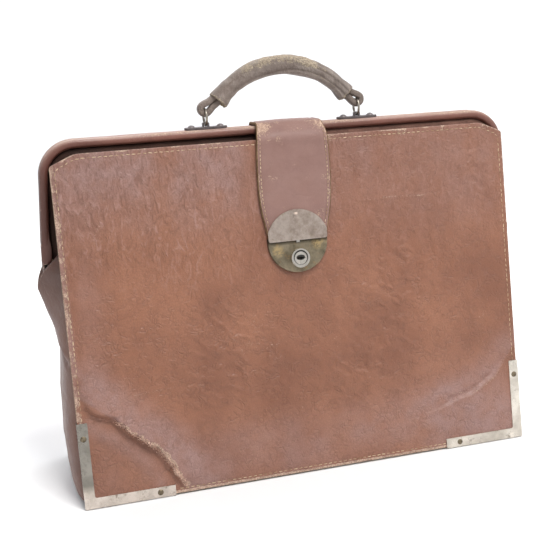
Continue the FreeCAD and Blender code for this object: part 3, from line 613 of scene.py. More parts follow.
def keyhole_shadow(r):
    """Painted shade in the hollow round the keyhole: an oval, 4.3 mm to each side and 2.5 mm up and down."""
    away = r.vector_maths("SUBTRACT", r.place, LOCK_FACE)
    squares = []
    for way, reach in ((LOCK_UP, 2.5 * MM), ((1.0, 0.0, 0.0), 4.3 * MM)):
        share = r.maths("MULTIPLY", r.vector_maths("DOT_PRODUCT", away, way), 1 / reach)
        squares.append(r.maths("MULTIPLY", share, share))
    return r.ramp(r.maths("ADD", *squares), 0.75, 1.15, 0.9, 0.0)


def gilding(r):
    """Two places near the top of the lock plate where its gilding is left."""
    low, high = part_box("lock_plate")
    patches = []
    for x, drop, reach in ((high.x - 9 * MM, 4 * MM, 8 * MM), (low.x + 9 * MM, 9 * MM, 7 * MM)):
        far = r.off_axis((x, LOCK_FACE.y, HASP_FOOT - drop), LOCK_AXIS)
        patches.append(r.ramp(far, 0.4 * reach, reach, 1.0, 0.0))
    ragged_edge = r.ramp(r.noise(0.003, detail=5.0, rough=0.7), 0.42, 0.55, 0.05, 0.5)
    return r.maths("MULTIPLY", r.maths("MAXIMUM", *patches), ragged_edge)


def hasp_shadow(r):
    """Painted shadow on the lock plate just below the hasp's edge."""
    return r.ramp(r.height(), HASP_FOOT - 3.6 * MM, HASP_FOOT - 0.6 * MM, 0.0, 0.8)


PALE_NICKEL = (232, 226, 214), (196, 188, 176)
MATERIAL = {
    # painted shade by height: darker towards the panel's top, towards the gussets' tops, and over the rim's
    # legs and the leather by the hinge pins
    "panel": leather("panel_hide", (144, 96, 72), (124, 79, 58), (149, 117, 110), vein=8.0,
                     vein_depth=0.45, shade_by_height=(300 * MM, 190 * MM, 0.17)),
    "gusset": leather("gusset_hide", (112, 71, 54), (88, 54, 41), (113, 82, 68), vein=14.0,
                      vein_depth=0.15, contrast=0.4, shade_by_height=(205 * MM, 150 * MM, 0.62)),
    "rim": leather("rim_hide", (130, 84, 72), (106, 66, 56), (160, 130, 118), vein=(9.0, 5.0, 7.0),
                   vein_depth=0.1, grain_depth=0.06, rough=0.42, contrast=0.6,
                   shade_by_height=(288 * MM, 316 * MM, 0.74)),
    # the valance's colours are painted dark, as the shade in the gap under the rim
    "valance": leather("valance_hide", (56, 38, 32), (40, 28, 24), (112, 82, 72), vein_depth=0.12,
                       rough=0.75, specular=0.1),
    "strap": leather("strap_hide", (130, 97, 87), (114, 81, 73), (142, 113, 106),
                     vein=(20.0, 20.0, 14.0), vein_depth=0.06, grain=(1.4, 1.4, 1.4), grain_depth=0.07,
                     rough=0.58, contrast=0.35, specular=0.4),
    "grip": leather("grip_hide", (112, 97, 88), (78, 65, 58), (152, 140, 131), grain=(1.2, 1.2, 1.6),
                    grain_depth=0.18, rough=0.6, contrast=0.9, raw=((112, 99, 84), (170, 156, 136))),
    "fibre": raw_edge("torn_fibre", light=(238, 206, 186), dark=(196, 156, 136), grime=0.15),
    "strap_edge": raw_edge("strap_edge", light=(128, 104, 76), dark=(84, 62, 44)),
    "raw": raw_edge("raw_edge"),
    "board": raw_edge("board_edge", light=(152, 138, 98), dark=(104, 88, 56)),
    "thread": thread(),
    "lining": cloth("lining_cloth", (128, 110, 88), (102, 84, 66)),
    "nickel": metal("old_nickel", (222, 215, 203), (186, 178, 166), 0.27, size=0.024,
                    stain=(108, 94, 78)),
    # the front left guard, whose upright part takes a painted darker reflection
    "shaded_nickel": metal("shaded_nickel", (218, 207, 196), (180, 170, 158), 0.24, size=0.02,
                        stain=(108, 94, 78), shade=((118, 116, 108), 0.016)),
    "brass": metal("old_brass", (150, 138, 116), (100, 92, 76), 0.4, pits=0.06, size=0.014,
                   stain=(168, 134, 92), shadow_mask=hasp_shadow, gilt=gilding),
    "hasp": metal("pitted_steel", (186, 172, 161), (140, 126, 116), 0.42, pits=0.14, size=0.009,
                  stain=(136, 122, 96)),
    "lock": metal("bright_nickel", *PALE_NICKEL, 0.16, size=0.009),
    "bezel": metal("bezel_nickel", *PALE_NICKEL, 0.16, size=0.009, shadow_mask=bezel_groove_shade),
    "plug": metal("plug_nickel", (234, 228, 216), (204, 196, 184), 0.18, shadow_mask=keyhole_shadow),
    "plate": metal("old_enamel", (112, 104, 104), (84, 78, 78), 0.42, pits=0.04, shiny=0.4),
    "rivet": metal("rivet_metal", (136, 124, 104), (84, 74, 60), 0.45, pits=0.04, size=0.003),
    "wire": metal("ring_wire", (176, 170, 160), (126, 116, 104), 0.34, size=0.004),
    "steel": metal("frame_steel", (84, 78, 74), (58, 52, 48), 0.62, pits=0.05, size=0.01),
    "floor": plain_pale("pale_floor", (238, 238, 239)),
}


# ---------------------------------------------------------------- camera, light and floor

CAMERA_PLACE = (-0.2530, -0.8776, 0.3922)
CAMERA_TURN = (76.69, 2.88, -16.003)
CAMERA_LENS = 63.76


def camera():
    data = bpy.data.cameras.new("camera")
    data.lens = CAMERA_LENS
    data.sensor_width = 36.0
    data.clip_start = 0.05
    data.clip_end = 50.0
    piece = place_object("camera", data)
    piece.location = CAMERA_PLACE
    piece.rotation_euler = Euler([math.radians(angle) for angle in CAMERA_TURN])
    bpy.context.scene.camera = piece


def area_light(name, place, target, size, power, tint=(1.0, 1.0, 1.0)):
    data = bpy.data.lights.new(name, "AREA")
    data.shape = "DISK"
    data.size = size
    data.energy = power
    data.color = tint
    lamp = place_object(name, data)
    lamp.location = place
    lamp.rotation_euler = (Vector(target) - Vector(place)).to_track_quat("-Z", "Y").to_euler()


def studio():
    """A pale round sweep under and about the bag, a bright sky and four soft lamps."""
    bpy.context.scene.view_settings.view_transform = "Standard"
    world = bpy.data.worlds.new("world")
    world.use_nodes = True
    sky = world.node_tree.nodes["Background"]
    sky.inputs["Color"].default_value = (0.95, 0.97, 1.0, 1.0)
    sky.inputs["Strength"].default_value = 0.55
    bpy.context.scene.world = world
    middle = (0.0, 0.0, 0.16)
    area_light("key", (0.25, -0.85, 1.75), middle, 0.8, 31, (1.0, 0.985, 0.96))
    area_light("side", (1.6, -1.2, 0.7), middle, 1.0, 5)
    area_light("back", (-0.3, 1.2, 1.5), middle, 1.2, 14)
    area_light("backdrop", (1.2, 0.8, 2.4), (0.8, 3.6, 0.8), 2.0, 60)
    reach, bend, wall, parts = 3.6, 1.0, 2.6, 12
    profile = [(0.05, 0.0), (reach - bend, 0.0)]
    for k in range(1, parts + 1):
        angle = math.radians(90 * k / parts)
        profile.append((reach - bend + bend * math.sin(angle), bend - bend * math.cos(angle)))
    profile.append((reach, wall))
    turns = 96
    angle = 2 * math.pi * np.arange(turns) / turns
    far, up = np.array(profile).T[..., None]
    points = xyz(far * np.cos(angle), far * np.sin(angle), up)
    faces = grid_faces(len(profile), turns, around=True)
    faces.append(tuple(range(turns)))
    new_piece("floor", points, faces, ["floor"])


# ---------------------------------------------------------------- leather panels

class Panel:
    """The plane of one panel's outer face: x across, height up along the lean, depth outward."""

    def __init__(self, side):
        self.side = side
        self.name = SIDE_NAME[side]
        self.foot = JOINT_PLACE[f"{self.name}_panel_tilt"]
        self.up = (JOINT_PLACE[f"{self.name}_frame_fold"] - self.foot).normalized()
        self.out = Vector((0.0, side * self.up.z, -side * self.up.y))

    def at(self, x, height, depth):
        x, height, depth = np.broadcast_arrays(x, height, depth)
        return (xyz(x, 0.0, 0.0) + np.array(self.foot)
                + height[..., None] * np.array(self.up) + depth[..., None] * np.array(self.out))


def panel_outline(inset=0.0):
    """The panel's outline, from the bottom left corner round to the right, with its stepped corners."""
    half, high = PANEL_HALF - inset, PANEL_HEIGHT - inset
    shoulder = PANEL_HEIGHT - CORNER_DROP - inset * 0.8
    run = PANEL_HALF - CORNER_RUN - inset * 0.2
    points = [(-half, inset), (-half, shoulder), (-run, high), (run, high), (half, shoulder), (half, inset)]
    radii = [1.5 * MM, 4.0 * MM, 24.0 * MM, 24.0 * MM, 4.0 * MM, 1.5 * MM]
    return rounded(points, radii, closed=True)


TOP_LINE = panel_outline()
TOP_LINE = TOP_LINE[TOP_LINE[:, 1] > PANEL_HEIGHT / 2]

# (across, height) along the folds and scratches in the front's leather, in metres
CREASE_LEFT = [(-0.211, 0.099), (-0.191, 0.084), (-0.169, 0.063), (-0.151, 0.048), (-0.137, 0.031),
               (-0.124, 0.007)]
CREASE_RIGHT = [(0.208, 0.086), (0.189, 0.064), (0.163, 0.049), (0.140, 0.043)]
CREASE_RIDGE = [(-0.205, 0.072), (-0.182, 0.058), (-0.160, 0.036), (-0.146, 0.012)]
SCRATCHES = [[(0.062, 0.247), (0.100, 0.2485), (0.150, 0.246)],
             [(-0.172, 0.094), (-0.145, 0.098), (-0.117, 0.097)],
             [(0.141, 0.0528), (0.152, 0.0520), (0.164, 0.0515)]]
# how far the left crease stands out at its ends, and how much more in its middle, in millimetres
CREASE_LOW, CREASE_SWELL = 2.6, 4.6
TORN_FIBRES = 520
# (across, height, reach) of the places where the front's leather is crumpled
CRUMPLES = [(0.097, 0.178, 0.050), (0.192, 0.268, 0.028), (-0.070, 0.110, 0.060), (0.060, 0.090, 0.050)]


def edge_distance(x, z):
    """How far inside a panel's outline places on it lie."""
    top = np.interp(x, TOP_LINE[:, 0], TOP_LINE[:, 1])
    return np.minimum(np.minimum(PANEL_HALF - np.abs(x), z), top - z)


def panel_height_field(side, x, z):
    """How far the leather stands out of its plane, and how worn it is, at places on a panel."""
    edge = edge_distance(x, z)
    seed = 20 if side == FRONT else 60
    free = smooth(4 * MM, 26 * MM, edge)
    field = WAVE_DEPTH * ragged(x, z, 0.085, seed, 2) * free
    field += RIPPLE_DEPTH * ragged(x, z * 0.6, 0.0085, seed + 5, 2) * smooth(0.0, 6 * MM, edge)
    tall = smooth(0.10, 0.24, z)
    field += WRINKLE_DEPTH * ragged(x, z * 0.3, 0.0075, seed + 9, 3) * tall * free
    field -= SEAM_DEPTH * bell(edge - SEAM_INSET, 1.1 * MM)
    near_side = PANEL_HALF + side * -x
    shift = 0.5 * MM * ragged(x, z, 0.02, seed + 30, 3)
    band = smooth(4.6 * MM, 3.0 * MM, near_side + shift) * (0.40 + 0.40 * ragged(x, z, 0.005, seed + 32, 3))
    field -= 0.7 * MM * smooth(2.9 * MM, 2.3 * MM, near_side + shift)
    rub = smooth(2.2 * MM, 0.4 * MM, edge) * (0.35 + 0.4 * ragged(x, z, 0.008, seed + 31, 3))
    under = smooth(3.2 * MM, 1.8 * MM, z + shift) * 0.9
    worn = np.maximum(np.maximum(band, rub), under)
    worn += 0.38 * smooth(0.35, 1.0, ragged(x, z, 0.014, seed + 33, 3)) * smooth(9 * MM, 3 * MM, edge)
    worn += 0.14 * smooth(0.5, 1.0, ragged(x, z, 0.03, seed + 36, 3))
    if side == FRONT:
        along, over = x * 0.8 - z * 0.6, x * 0.6 + z * 0.8
        shape = 1.0 - 2.4 * np.abs(ragged(along * 0.55, over, 0.0085, 84, 2))
        crumpled = sum(bell(np.hypot(x - cx, z - cz), reach) for cx, cz, reach in CRUMPLES)
        field += CRUMPLE_DEPTH * np.clip(shape, -0.6, 1.0) * np.clip(crumpled, 0, 1) * free
        for scratch in SCRATCHES:
            distance, _, share = path_distance(x, z + 0.4 * shift, scratch)
            fade = np.sin(math.pi * np.clip(share, 0, 1)) ** 0.5
            field += 0.3 * MM * bell(distance, 1.4 * MM) * fade
            worn += 0.42 * bell(distance, 0.9 * MM) * fade
        wander = 2.2 * MM * ragged(x, z, 0.014, 91, 3)
        _, signed, share = path_distance(x + wander, z + wander, CREASE_LEFT)
        height = (CREASE_LOW + CREASE_SWELL * np.sin(math.pi * np.clip(share, 0.0, 1.0)) ** 0.8) * MM
        hump = np.where(signed > 0, np.exp(-signed / 0.042), smooth(-4.5 * MM, 0.8 * MM, signed))
        field += height * hump * smooth(1.5 * MM, 14 * MM, edge)
        field -= 0.9 * MM * bell(signed + 4.6 * MM, 3 * MM) * smooth(2 * MM, 8 * MM, edge)
        torn = smooth(0.22, 0.5, share) * (0.75 + 0.9 * ragged(x, z, 0.006, 95, 3))
        worn += 1.3 * bell(signed - 1.0 * MM, 1.6 * MM) * torn
        distance, _, _ = path_distance(x, z, CREASE_RIDGE)
        field += 1.3 * MM * bell(distance, 6 * MM) * free
        distance, signed, share = path_distance(x + wander, z + wander, CREASE_RIGHT)
        hump = np.where(signed > 0, np.exp(-signed / 0.024), smooth(-3.2 * MM, 0.0, signed))
        field += 3.2 * MM * hump * free
        field -= 0.6 * MM * bell(signed + 4 * MM, 3 * MM) * free
        worn += 0.34 * bell(distance, 1.3 * MM) * smooth(1.0, 0.7, share)
    return field, np.clip(worn, 0.0, 1.0)


def panel_haze(side, x, z):
    """Where a panel takes painted sheen: in streaks below its top edge, above its foot and along one side
    edge; on the front also as painted highlight by the creases and the lower right corner, and less below
    the left crease as painted shade.
    """
    seed = 50 + side
    streaks = 0.7 + 0.5 * ragged(x, z * 0.5, 0.03, seed, 3)
    across = x * -side
    haze = smooth(0.20, 0.28, z + 0.1 * across) * streaks * (0.5 + 0.7 * smooth(0.02, -0.12, across))
    haze += 0.8 * smooth(0.075, 0.02, z) * (0.55 + 0.5 * ragged(x, z, 0.05, seed + 3, 2))
    left_band = bell(across + PANEL_HALF - 22 * MM, 12 * MM)
    haze += 0.6 * left_band * (0.7 + 0.5 * ragged(x, z, 0.06, seed + 5, 2))
    haze += 0.8 * smooth(7 * MM, 3 * MM, PANEL_HALF + across)
    if side == FRONT:
        distance, signed, _ = path_distance(x, z, CREASE_LEFT)
        haze *= 0.3 + 0.7 * smooth(-4 * MM, 1 * MM, signed)
        haze += 1.1 * smooth(0.042, 0.004, distance) * smooth(-1 * MM, 2 * MM, signed)
        distance, _, _ = path_distance(x, z, CREASE_RIDGE)
        haze += 0.5 * bell(distance, 7 * MM)
        haze += 0.7 * bell(np.hypot((x - 0.155) / 1.5, z - 0.030), 0.042)
        distance, signed, _ = path_distance(x, z, CREASE_RIGHT)
        haze += 0.6 * smooth(0.034, 0.004, distance) * smooth(1 * MM, -2 * MM, signed)
    return np.clip(haze, 0.0, 1.0)


def panel_streak(side, x, z):
    """Where long upright wrinkles run: over a panel's upper part, strongest near the bag's left end."""
    drift = 0.02 * ragged(x, z, 0.05, 57 + side, 2)
    return smooth(0.15, 0.26, z + drift) * (0.42 + 0.58 * smooth(0.0, -0.10, -side * x))


def panel_grid(pitch, inset=0.0):
    """Places over a panel, in rows and columns that follow its outline and crowd towards its edges."""
    columns = stops(inset - PANEL_HALF, PANEL_HALF - inset, pitch)
    rows = stops(inset, PANEL_HEIGHT - inset, pitch) / PANEL_HEIGHT
    top = np.interp(columns, TOP_LINE[:, 0], TOP_LINE[:, 1])
    return np.broadcast_to(columns, (len(rows), len(columns))), rows[:, None] * top[None, :]


def rounded_fall(edge, round_over):
    """How far a rounded edge has fallen at a distance from it."""
    fall = np.clip(1.0 - edge / round_over, 0.0, 1.0)
    return round_over * (1 - np.sqrt(1 - fall ** 2))


def panel_leather(side):
    """One panel's leather: a face with grain, waves and creases, a worn cut edge and a flat back."""
    panel = Panel(side)
    x, z = panel_grid(FACE_PITCH)
    depth, worn = panel_height_field(side, x, z)
    edge = edge_distance(x, z)
    depth = depth * smooth(0.0, 2 * MM, edge) - rounded_fall(edge, 0.9 * MM) * 0.7
    front = panel.at(x, z, depth).reshape(-1, 3)
    ring = grid_border(*x.shape)
    back = panel.at(x, z, -LEATHER_THICK).reshape(-1, 3)[ring]
    count, face_faces = len(ring), grid_faces(*x.shape)
    back_ring = list(range(len(front), len(front) + count))
    faces = face_faces + wall_faces(ring, back_ring) + [tuple(back_ring)]
    slots = [0] * len(face_faces) + [1] * (count + 1)
    piece = new_piece(f"{panel.name}_leather", np.concatenate([front, back]), faces,
                      ["panel", "raw"], slots, flip=side == BACK)
    paint(piece, wear=np.concatenate([worn.ravel(), np.ones(count)]),
          haze=np.concatenate([panel_haze(side, x, z).ravel(), np.zeros(count)]),
          streak=np.concatenate([panel_streak(side, x, z).ravel(), np.zeros(count)]))
    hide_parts(f"{panel.name}_panel_leather")
    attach(piece, f"{panel.name}_panel")

    def lift(places):
        depth_there, _ = panel_height_field(side, places[:, 0], places[:, 1])
        lifted = panel.at(places[:, 0], places[:, 1], depth_there + 0.12 * MM)
        return lifted, np.tile(np.array(panel.out), (len(places), 1))

    def under_guard(place_x, place_z):
        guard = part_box(f"{panel.name}_guard_left")
        return abs(place_x) > -guard[1].x - 1 * MM and place_z < 12 * MM or (
            abs(place_x) > PANEL_HALF - 12 * MM and place_z < guard[1].z)

    stitches(f"{panel.name}_seam", panel_outline(SEAM_INSET), lift, f"{panel.name}_panel", 3 + side,
             skip=under_guard)
    if side == FRONT:
        rng = np.random.default_rng(77)
        crease = resample(CREASE_LEFT, 0.5 * MM)
        torn_part = crease[int(0.30 * len(crease)):]
        picks = torn_part[rng.integers(0, len(torn_part), TORN_FIBRES)]
        picks = picks + rng.normal(0, 1.1 * MM, (TORN_FIBRES, 2))
        fibres("crease_fibres", picks + [0.2 * MM, -0.3 * MM], lift, "front_panel", 78,
               2.6 * MM, lean=(0.2, -0.3))


def cloth_leaf(side):
    """The lining glued inside one panel, a little loose between its edges."""
    panel = Panel(side)
    inset = 3.0 * MM
    x, z = panel_grid(CLOTH_PITCH, inset)
    edge = edge_distance(x, z) - inset
    loose = smooth(0.0, 20 * MM, edge) * (0.8 + 0.8 * ragged(x, z, 0.05, 44 + side, 3)) * MM
    glued = LEATHER_THICK + BOARD_THICK
    outer = panel.at(x, z, -glued - 0.05 * MM)
    inner = panel.at(x, z, -(glued + LINING_THICK) - np.maximum(loose, 0.0))
    piece = closed_sheet(f"{panel.name}_lining", outer, inner, "lining", flip=side == BACK)
    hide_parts(f"{panel.name}_panel_lining")
    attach(piece, f"{panel.name}_panel")


def closed_sheet(name, outer, inner, finish, flip=False):
    """A thin solid between two grids of points that face each other, each rows by columns by 3."""
    rows, columns, _ = outer.shape
    start = rows * columns
    faces = grid_faces(rows, columns)
    faces += [tuple(start + k for k in reversed(f)) for f in faces]
    ring = grid_border(rows, columns)
    faces += wall_faces(ring, [start + k for k in ring])
    return new_piece(name, np.concatenate([outer, inner]), faces, [finish], flip=flip)


def base_slab(node, finish):
    """One flat layer of the base, with soft edges."""
    low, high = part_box(node)
    x, y = np.meshgrid(stops(low.x, high.x, 6 * MM), stops(low.y, high.y, 6 * MM))
    edge = np.minimum(np.minimum(x - low.x, high.x - x), np.minimum(y - low.y, high.y - y))
    thick = high.z - low.z
    curve = rounded_fall(edge, 0.4 * thick)
    ripple = 0.15 * thick * ragged(x, y, 0.03, 71, 3) * smooth(0.0, 10 * MM, edge)
    piece = closed_sheet(f"{node}_slab", xyz(x, y, high.z - curve - np.abs(ripple)),
                         xyz(x, y, low.z + curve), finish)
    paint(piece, wear=smooth(4 * MM, 0.0, edge) * 0.7, haze=0.4)
    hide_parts(node)
    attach(piece, "root")


# ---------------------------------------------------------------- frame covers and the leather below them

COVER_SIZE = 7.8 * MM
FRAME_CORNER = 33.0 * MM
FRAME_HALF = 221.2 * MM
RIM_STEP = 1.8 * MM


def arch_line(node, inset):
    """The middle line of an upside-down U with flared legs inside a node's box, inset from its outside."""
    low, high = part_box(node)
    half, foot, top = FRAME_HALF - inset, high.x - inset, high.z - inset
    chain = rounded([(-foot, low.z), (-half, top), (half, top), (foot, low.z)],
                    [0, FRAME_CORNER - inset, FRAME_CORNER - inset, 0])
    chain = resample(chain, RIM_STEP)
    return xyz(chain[:, 0], (low.y + high.y) / 2, chain[:, 1])


def rim(side):
    """The rolled leather over one half of the frame."""
    name = SIDE_NAME[side]
    node = f"{name}_frame_cover"
    low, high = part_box(node)
    path = arch_line(node, COVER_SIZE / 2)
    across, up = path_frames(path, (0, 1, 0))
    ring = oval((high.y - low.y) / 2, COVER_SIZE / 2, power=2.7, count=32)
    rng = np.random.default_rng(31 + side)
    swell = 1.0 + 0.02 * np.convolve(rng.uniform(-1, 1, len(path)), np.ones(7) / 4, "same")
    ends = np.minimum(np.arange(len(path)), np.arange(len(path))[::-1])
    swell = np.minimum(swell * (1.0 - 0.10 * smooth(3.0, 0.0, ends)), 1.03)
    piece = tube(f"{name}_rim", path, across, up, ring * swell[:, None, None], ["rim", "raw"])
    facing = ring[:, 1] / np.abs(ring[:, 1]).max()
    s, f = np.meshgrid(np.arange(len(path)) * RIM_STEP, facing, indexing="ij")
    patchy = 0.5 + 0.5 * ragged(s, f * 0.01, 0.03, 12 + side, 4)
    rail = np.clip(up[:, 2], 0.0, 1.0)[:, None]
    outside = smooth(0.1, 0.9, f)
    # painted sheen on the rim's outer face, strongest where it faces up
    paint(piece, wear=np.clip(outside * patchy * (0.28 + 0.52 * rail), 0, 1),
          haze=np.clip(outside * (0.35 + 0.65 * rail), 0, 1))
    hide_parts(node)
    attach(piece, f"{name}_frame")


def pin_tab(hand):
    """The front cover's leather, carried down over the outside of the hinge lugs and round the pin."""
    cover_low, cover_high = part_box("front_frame_cover")
    pin_low, pin_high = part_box(f"hinge_pin_{HAND_NAME[hand]}")
    axis = (pin_low + pin_high) / 2
    head = max(abs(pin_low.x), abs(pin_high.x)) - 1.6 * MM
    outer, inner = head + 1.3 * MM, head + 0.1 * MM
    radius, hole = 9.6 * MM, 4.3 * MM
    top = cover_low.z + 7 * MM
    turn = np.linspace(math.radians(175), math.radians(392), 48)
    round_part = np.stack([radius * np.cos(turn), axis.z + radius * np.sin(turn)], axis=1)
    chain = np.concatenate([[[cover_low.y + 0.4 * MM, top]], round_part, [[cover_high.y, top]]])
    chain = resample(np.concatenate([chain, chain[:1]]), 1.2 * MM)[:-1]
    angle = np.arctan2(chain[:, 1] - axis.z, chain[:, 0])
    middle = np.stack([hole * np.cos(angle), axis.z + hole * np.sin(angle)], 1)
    rows = []
    for share, depth in ((0.0, 0.0), (0.12, 0.6), (0.3, 1.0), (1.0, 1.0)):
        ring = chain * (1 - share) + share * middle
        rows.append(xyz(hand * (inner + (outer - inner) * depth), ring[:, 0], ring[:, 1]))
    rows.append(rows[-1] * [0, 1, 1] + [hand * inner, 0, 0])
    count, last = len(chain), (len(rows) - 1) * len(chain)
    faces = grid_faces(len(rows), count, around=True)
    for k in range(count):
        n = (k + 1) % count
        faces.append((k, n, last + n, last + k))
    piece = new_piece(f"pin_tab_{HAND_NAME[hand]}", np.concatenate(rows), faces, ["rim"], flip=hand > 0)
    paint(piece, wear=np.repeat([0.5, 0.35, 0.1, 0.2, 0.2], count), haze=0.3)
    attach(piece, "front_frame")


def leg_end(hand):
    """The front cover's leather carried down over the front of the hinge lugs."""
    low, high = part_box("front_frame_cover")
    foot, head = 213.0 * MM, low.z + 16 * MM
    heights = np.linspace(foot, head, 22)
    lean = (high.x - FRAME_HALF) / (high.z - low.z)
    middle = high.x + lean * (low.z - heights) - 4.7 * MM
    path = xyz(hand * middle, low.y + 0.9 * MM, heights)
    across, up = np.zeros((2, *path.shape))
    across[:, 0], up[:, 1] = 1.0, -1.0
    ring = oval(4.6 * MM, 0.85 * MM, power=3.0)
    above = smooth(low.z - 2 * MM, head, heights)
    narrow = 1.0 - 0.45 * smooth(foot + 4 * MM, foot, heights) - 0.5 * above
    scale = np.stack([narrow, 1.0 - 0.6 * above], axis=1)
    piece = tube(f"leg_end_{HAND_NAME[hand]}", path, across, up, ring * scale[:, None], ["rim"])
    paint(piece, wear=np.repeat(0.5 * smooth(foot + 2 * MM, foot, heights), len(ring)), haze=0.35)
    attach(piece, "front_frame")


def valance(side):
    """The flexible leather between a panel's top and sides and its half of the frame."""
    panel = Panel(side)
    cover = f"{panel.name}_frame_cover"
    low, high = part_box(cover)
    half, top, foot = PANEL_HALF - 4.0 * MM, PANEL_HEIGHT - 5.0 * MM, 206.0 * MM
    panel_line = rounded([(-half, foot), (-half, top - 7 * MM), (-half + 19 * MM, top),
                          (half - 19 * MM, top), (half, top - 7 * MM), (half, foot)],
                         [0, 6 * MM, 24 * MM, 24 * MM, 6 * MM, 0])
    panel_line = resample(panel_line, 1 * MM)
    below_leg = np.array([[-216.5 * MM, foot]])
    frame_line = arch_line(cover, COVER_SIZE - 0.6 * MM)[:, [0, 2]]
    frame_line = np.concatenate([below_leg, frame_line, below_leg * [-1, 1]])
    count, steps = 330, 15
    pick = np.linspace(0, 1, count)

    def spread(line):
        along = travelled(line)
        return between(line, along, pick * along[-1])

    a, b = spread(panel_line), spread(frame_line)
    inner_face = -(LEATHER_THICK + BOARD_THICK + LINING_THICK)
    start = panel.at(a[:, 0], a[:, 1], inner_face - 0.5 * MM)
    reach = (low.y + high.y) / 2 + side * 1.0 * MM
    end = xyz(b[:, 0], reach, b[:, 1])
    inward = unit_rows((np.array([0.0, 0.0, 0.24]) - end) * [1, 0, 1])
    wave = 1.0 + 0.35 * bumps(pick * 0.9, pick * 0, 0.035, 82 + side)
    tight = smooth(0.0, 40 * MM, -side * b[:, 0]) * smooth(0.25, 0.30, b[:, 1])
    loose = (7.5 - 5.0 * tight) * MM
    rows = []
    for t in np.linspace(0.0, 1.0, steps):
        dip = loose[:, None] * math.sin(math.pi * t) ** 0.7 * wave[:, None]
        rows.append(start * (1 - t) + end * t + inward * dip)
    outer = np.stack(rows)
    piece = closed_sheet(f"{panel.name}_valance", outer, outer + inward * 1.2 * MM, "valance",
                         flip=side == FRONT)
    # painted light: sheen over the side of its top where it runs tight, as if lit by the sky
    paint(piece, wear=0.0, haze=0.15 + 0.85 * tight)
    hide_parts(f"{panel.name}_hinge_strip", f"left_gusset_{panel.name}_web",
                f"right_gusset_{panel.name}_web")
    top_start = panel.at(0.0, PANEL_HEIGHT, inner_face)
    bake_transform(piece)


# ---------------------------------------------------------------- gussets

# (height, how far out, radius of the bend there) down the middle of a gusset, in millimetres
GUSSET_MIDDLE = [(1.5, 216.5, 0), (4, 220.0, 4), (16, 222.5, 8), (45, 223.5, 20), (95, 222.8, 30),
                 (138, 218.5, 10), (164, 226.0, 20), (191, 234.0, 2.2), (203, 214.0, 2.5),
                 (209, 206.5, 3), (262, 204.5, 0)]


def gusset_half(hand, side):
    """The front or back half of one end of the bag: boxy below, folded out to a point under the pin."""
    panel = Panel(side)
    line = rounded([(h * MM, x * MM) for h, x, _ in GUSSET_MIDDLE],
                   [bend * MM for _, _, bend in GUSSET_MIDDLE])
    top = GUSSET_MIDDLE[-1][0] * MM
    rows = np.concatenate([np.linspace(1.5 * MM, 0.130, 70), np.linspace(0.1315, 0.215, 66),
                           np.linspace(0.2175, top, 18)])
    columns = np.concatenate([np.linspace(0, 0.08, 8), np.linspace(0.1, 0.93, 34),
                              np.linspace(0.945, 1.0, 7)])
    z, t = np.meshgrid(rows, columns, indexing="ij")
    inner_face = LEATHER_THICK + BOARD_THICK + LINING_THICK
    face_y = abs(panel.foot.y) - (z - panel.foot.z) * math.tan(math.atan2(abs(panel.up.y), panel.up.z))
    deep = face_y - inner_face / panel.up.z - 0.4 * MM
    shear = (-12 + 46 * smooth(0.140, 0.200, z)) * MM
    z_eff = z - shear * t ** (1.2 - 0.4 * smooth(0.150, 0.190, z)) * smooth(0.04, 0.12, z)
    middle = np.interp(z_eff, line[:, 0], line[:, 1])
    edge_x = PANEL_HALF - 2.0 * MM - 7.0 * MM * smooth(0.205, 0.235, z)
    power = 5.0 - 3.55 * smooth(0.128, 0.168, z_eff) + 2.5 * smooth(0.200, 0.215, z_eff)
    x = edge_x + (middle - edge_x) * (1 - t ** power)
    seed = 130 + 7 * side + 3 * hand
    x = x + 0.55 * MM * ragged(z, t * deep, 0.03, seed, 3) * smooth(1.0, 0.86, t) * smooth(0.215, 0.19, z)
    for amount, height, width in ((-2.2, 0.138, 2.8), (1.2, 0.146, 4.0)):
        x = x + amount * MM * bell(z - (height - 0.014 * t), width * MM) * smooth(1.0, 0.7, t)
    piece = new_piece(f"{HAND_NAME[hand]}_gusset_{panel.name}", xyz(hand * x, side * t * deep, z),
                      grid_faces(*z.shape), ["gusset"], flip=hand * side < 0)
    ridge = bell(z - 0.191 - 0.034 * t ** 0.8, 2.4 * MM) * smooth(0.95, 0.3, t)
    paint(piece, wear=np.clip(0.4 * ridge + 0.2 * bell(t, 0.05), 0, 1), haze=0.36)
    thick = piece.modifiers.new("thickness", "SOLIDIFY")
    thick.thickness = 1.6 * MM
    thick.offset = -1.0
    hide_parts(f"{HAND_NAME[hand]}_gusset")
    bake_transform(piece)


# ---------------------------------------------------------------- strap

STRAP_THICK = 3.0 * MM
STRAP_SEAM = 3.4 * MM
STRAP_FOOT = 220.8 * MM
STRAP_ROOT = 311.0 * MM
# (along the strap from its front end in millimetres, half width, shift of its middle)
STRAP_WIDTHS = [(0, 28.3, 0.4), (8, 29.6, 0.6), (18, 32.0, 0.9), (32, 34.3, 1.3), (48, 35.2, 1.8),
                (66, 35.0, 2.4), (84, 34.3, 2.8), (94, 33.6, 3.2), (102, 32.2, 4.0), (108, 31.4, 4.4),
               (140, 31.4, 4.4)]


def strap_line():
    """The middle of the strap's thickness, from the hasp over the rims and down behind them."""
    panel = Panel(FRONT)
    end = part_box("strap_leather")
    back_y, top = end[1].y - STRAP_THICK / 2, end[1].z - STRAP_THICK / 2
    lay = 0.5 * MM + STRAP_THICK / 2
    first, second = panel.at(0.0, STRAP_FOOT, lay), panel.at(0.0, 304.0 * MM, lay)
    points = [first[1:], second[1:], (-26.2 * MM, 311.6 * MM), (-12.6 * MM, top - 1.0 * MM),
              (-8.8 * MM, top), (back_y, top), (back_y, STRAP_ROOT)]
    radii = [0, 25 * MM, 12 * MM, 8 * MM, 8 * MM, 2.6 * MM, 0]
    chain = resample(rounded(points, radii, step=0.8 * MM), 1.4 * MM)
    return xyz(0.0, chain[:, 0], chain[:, 1])


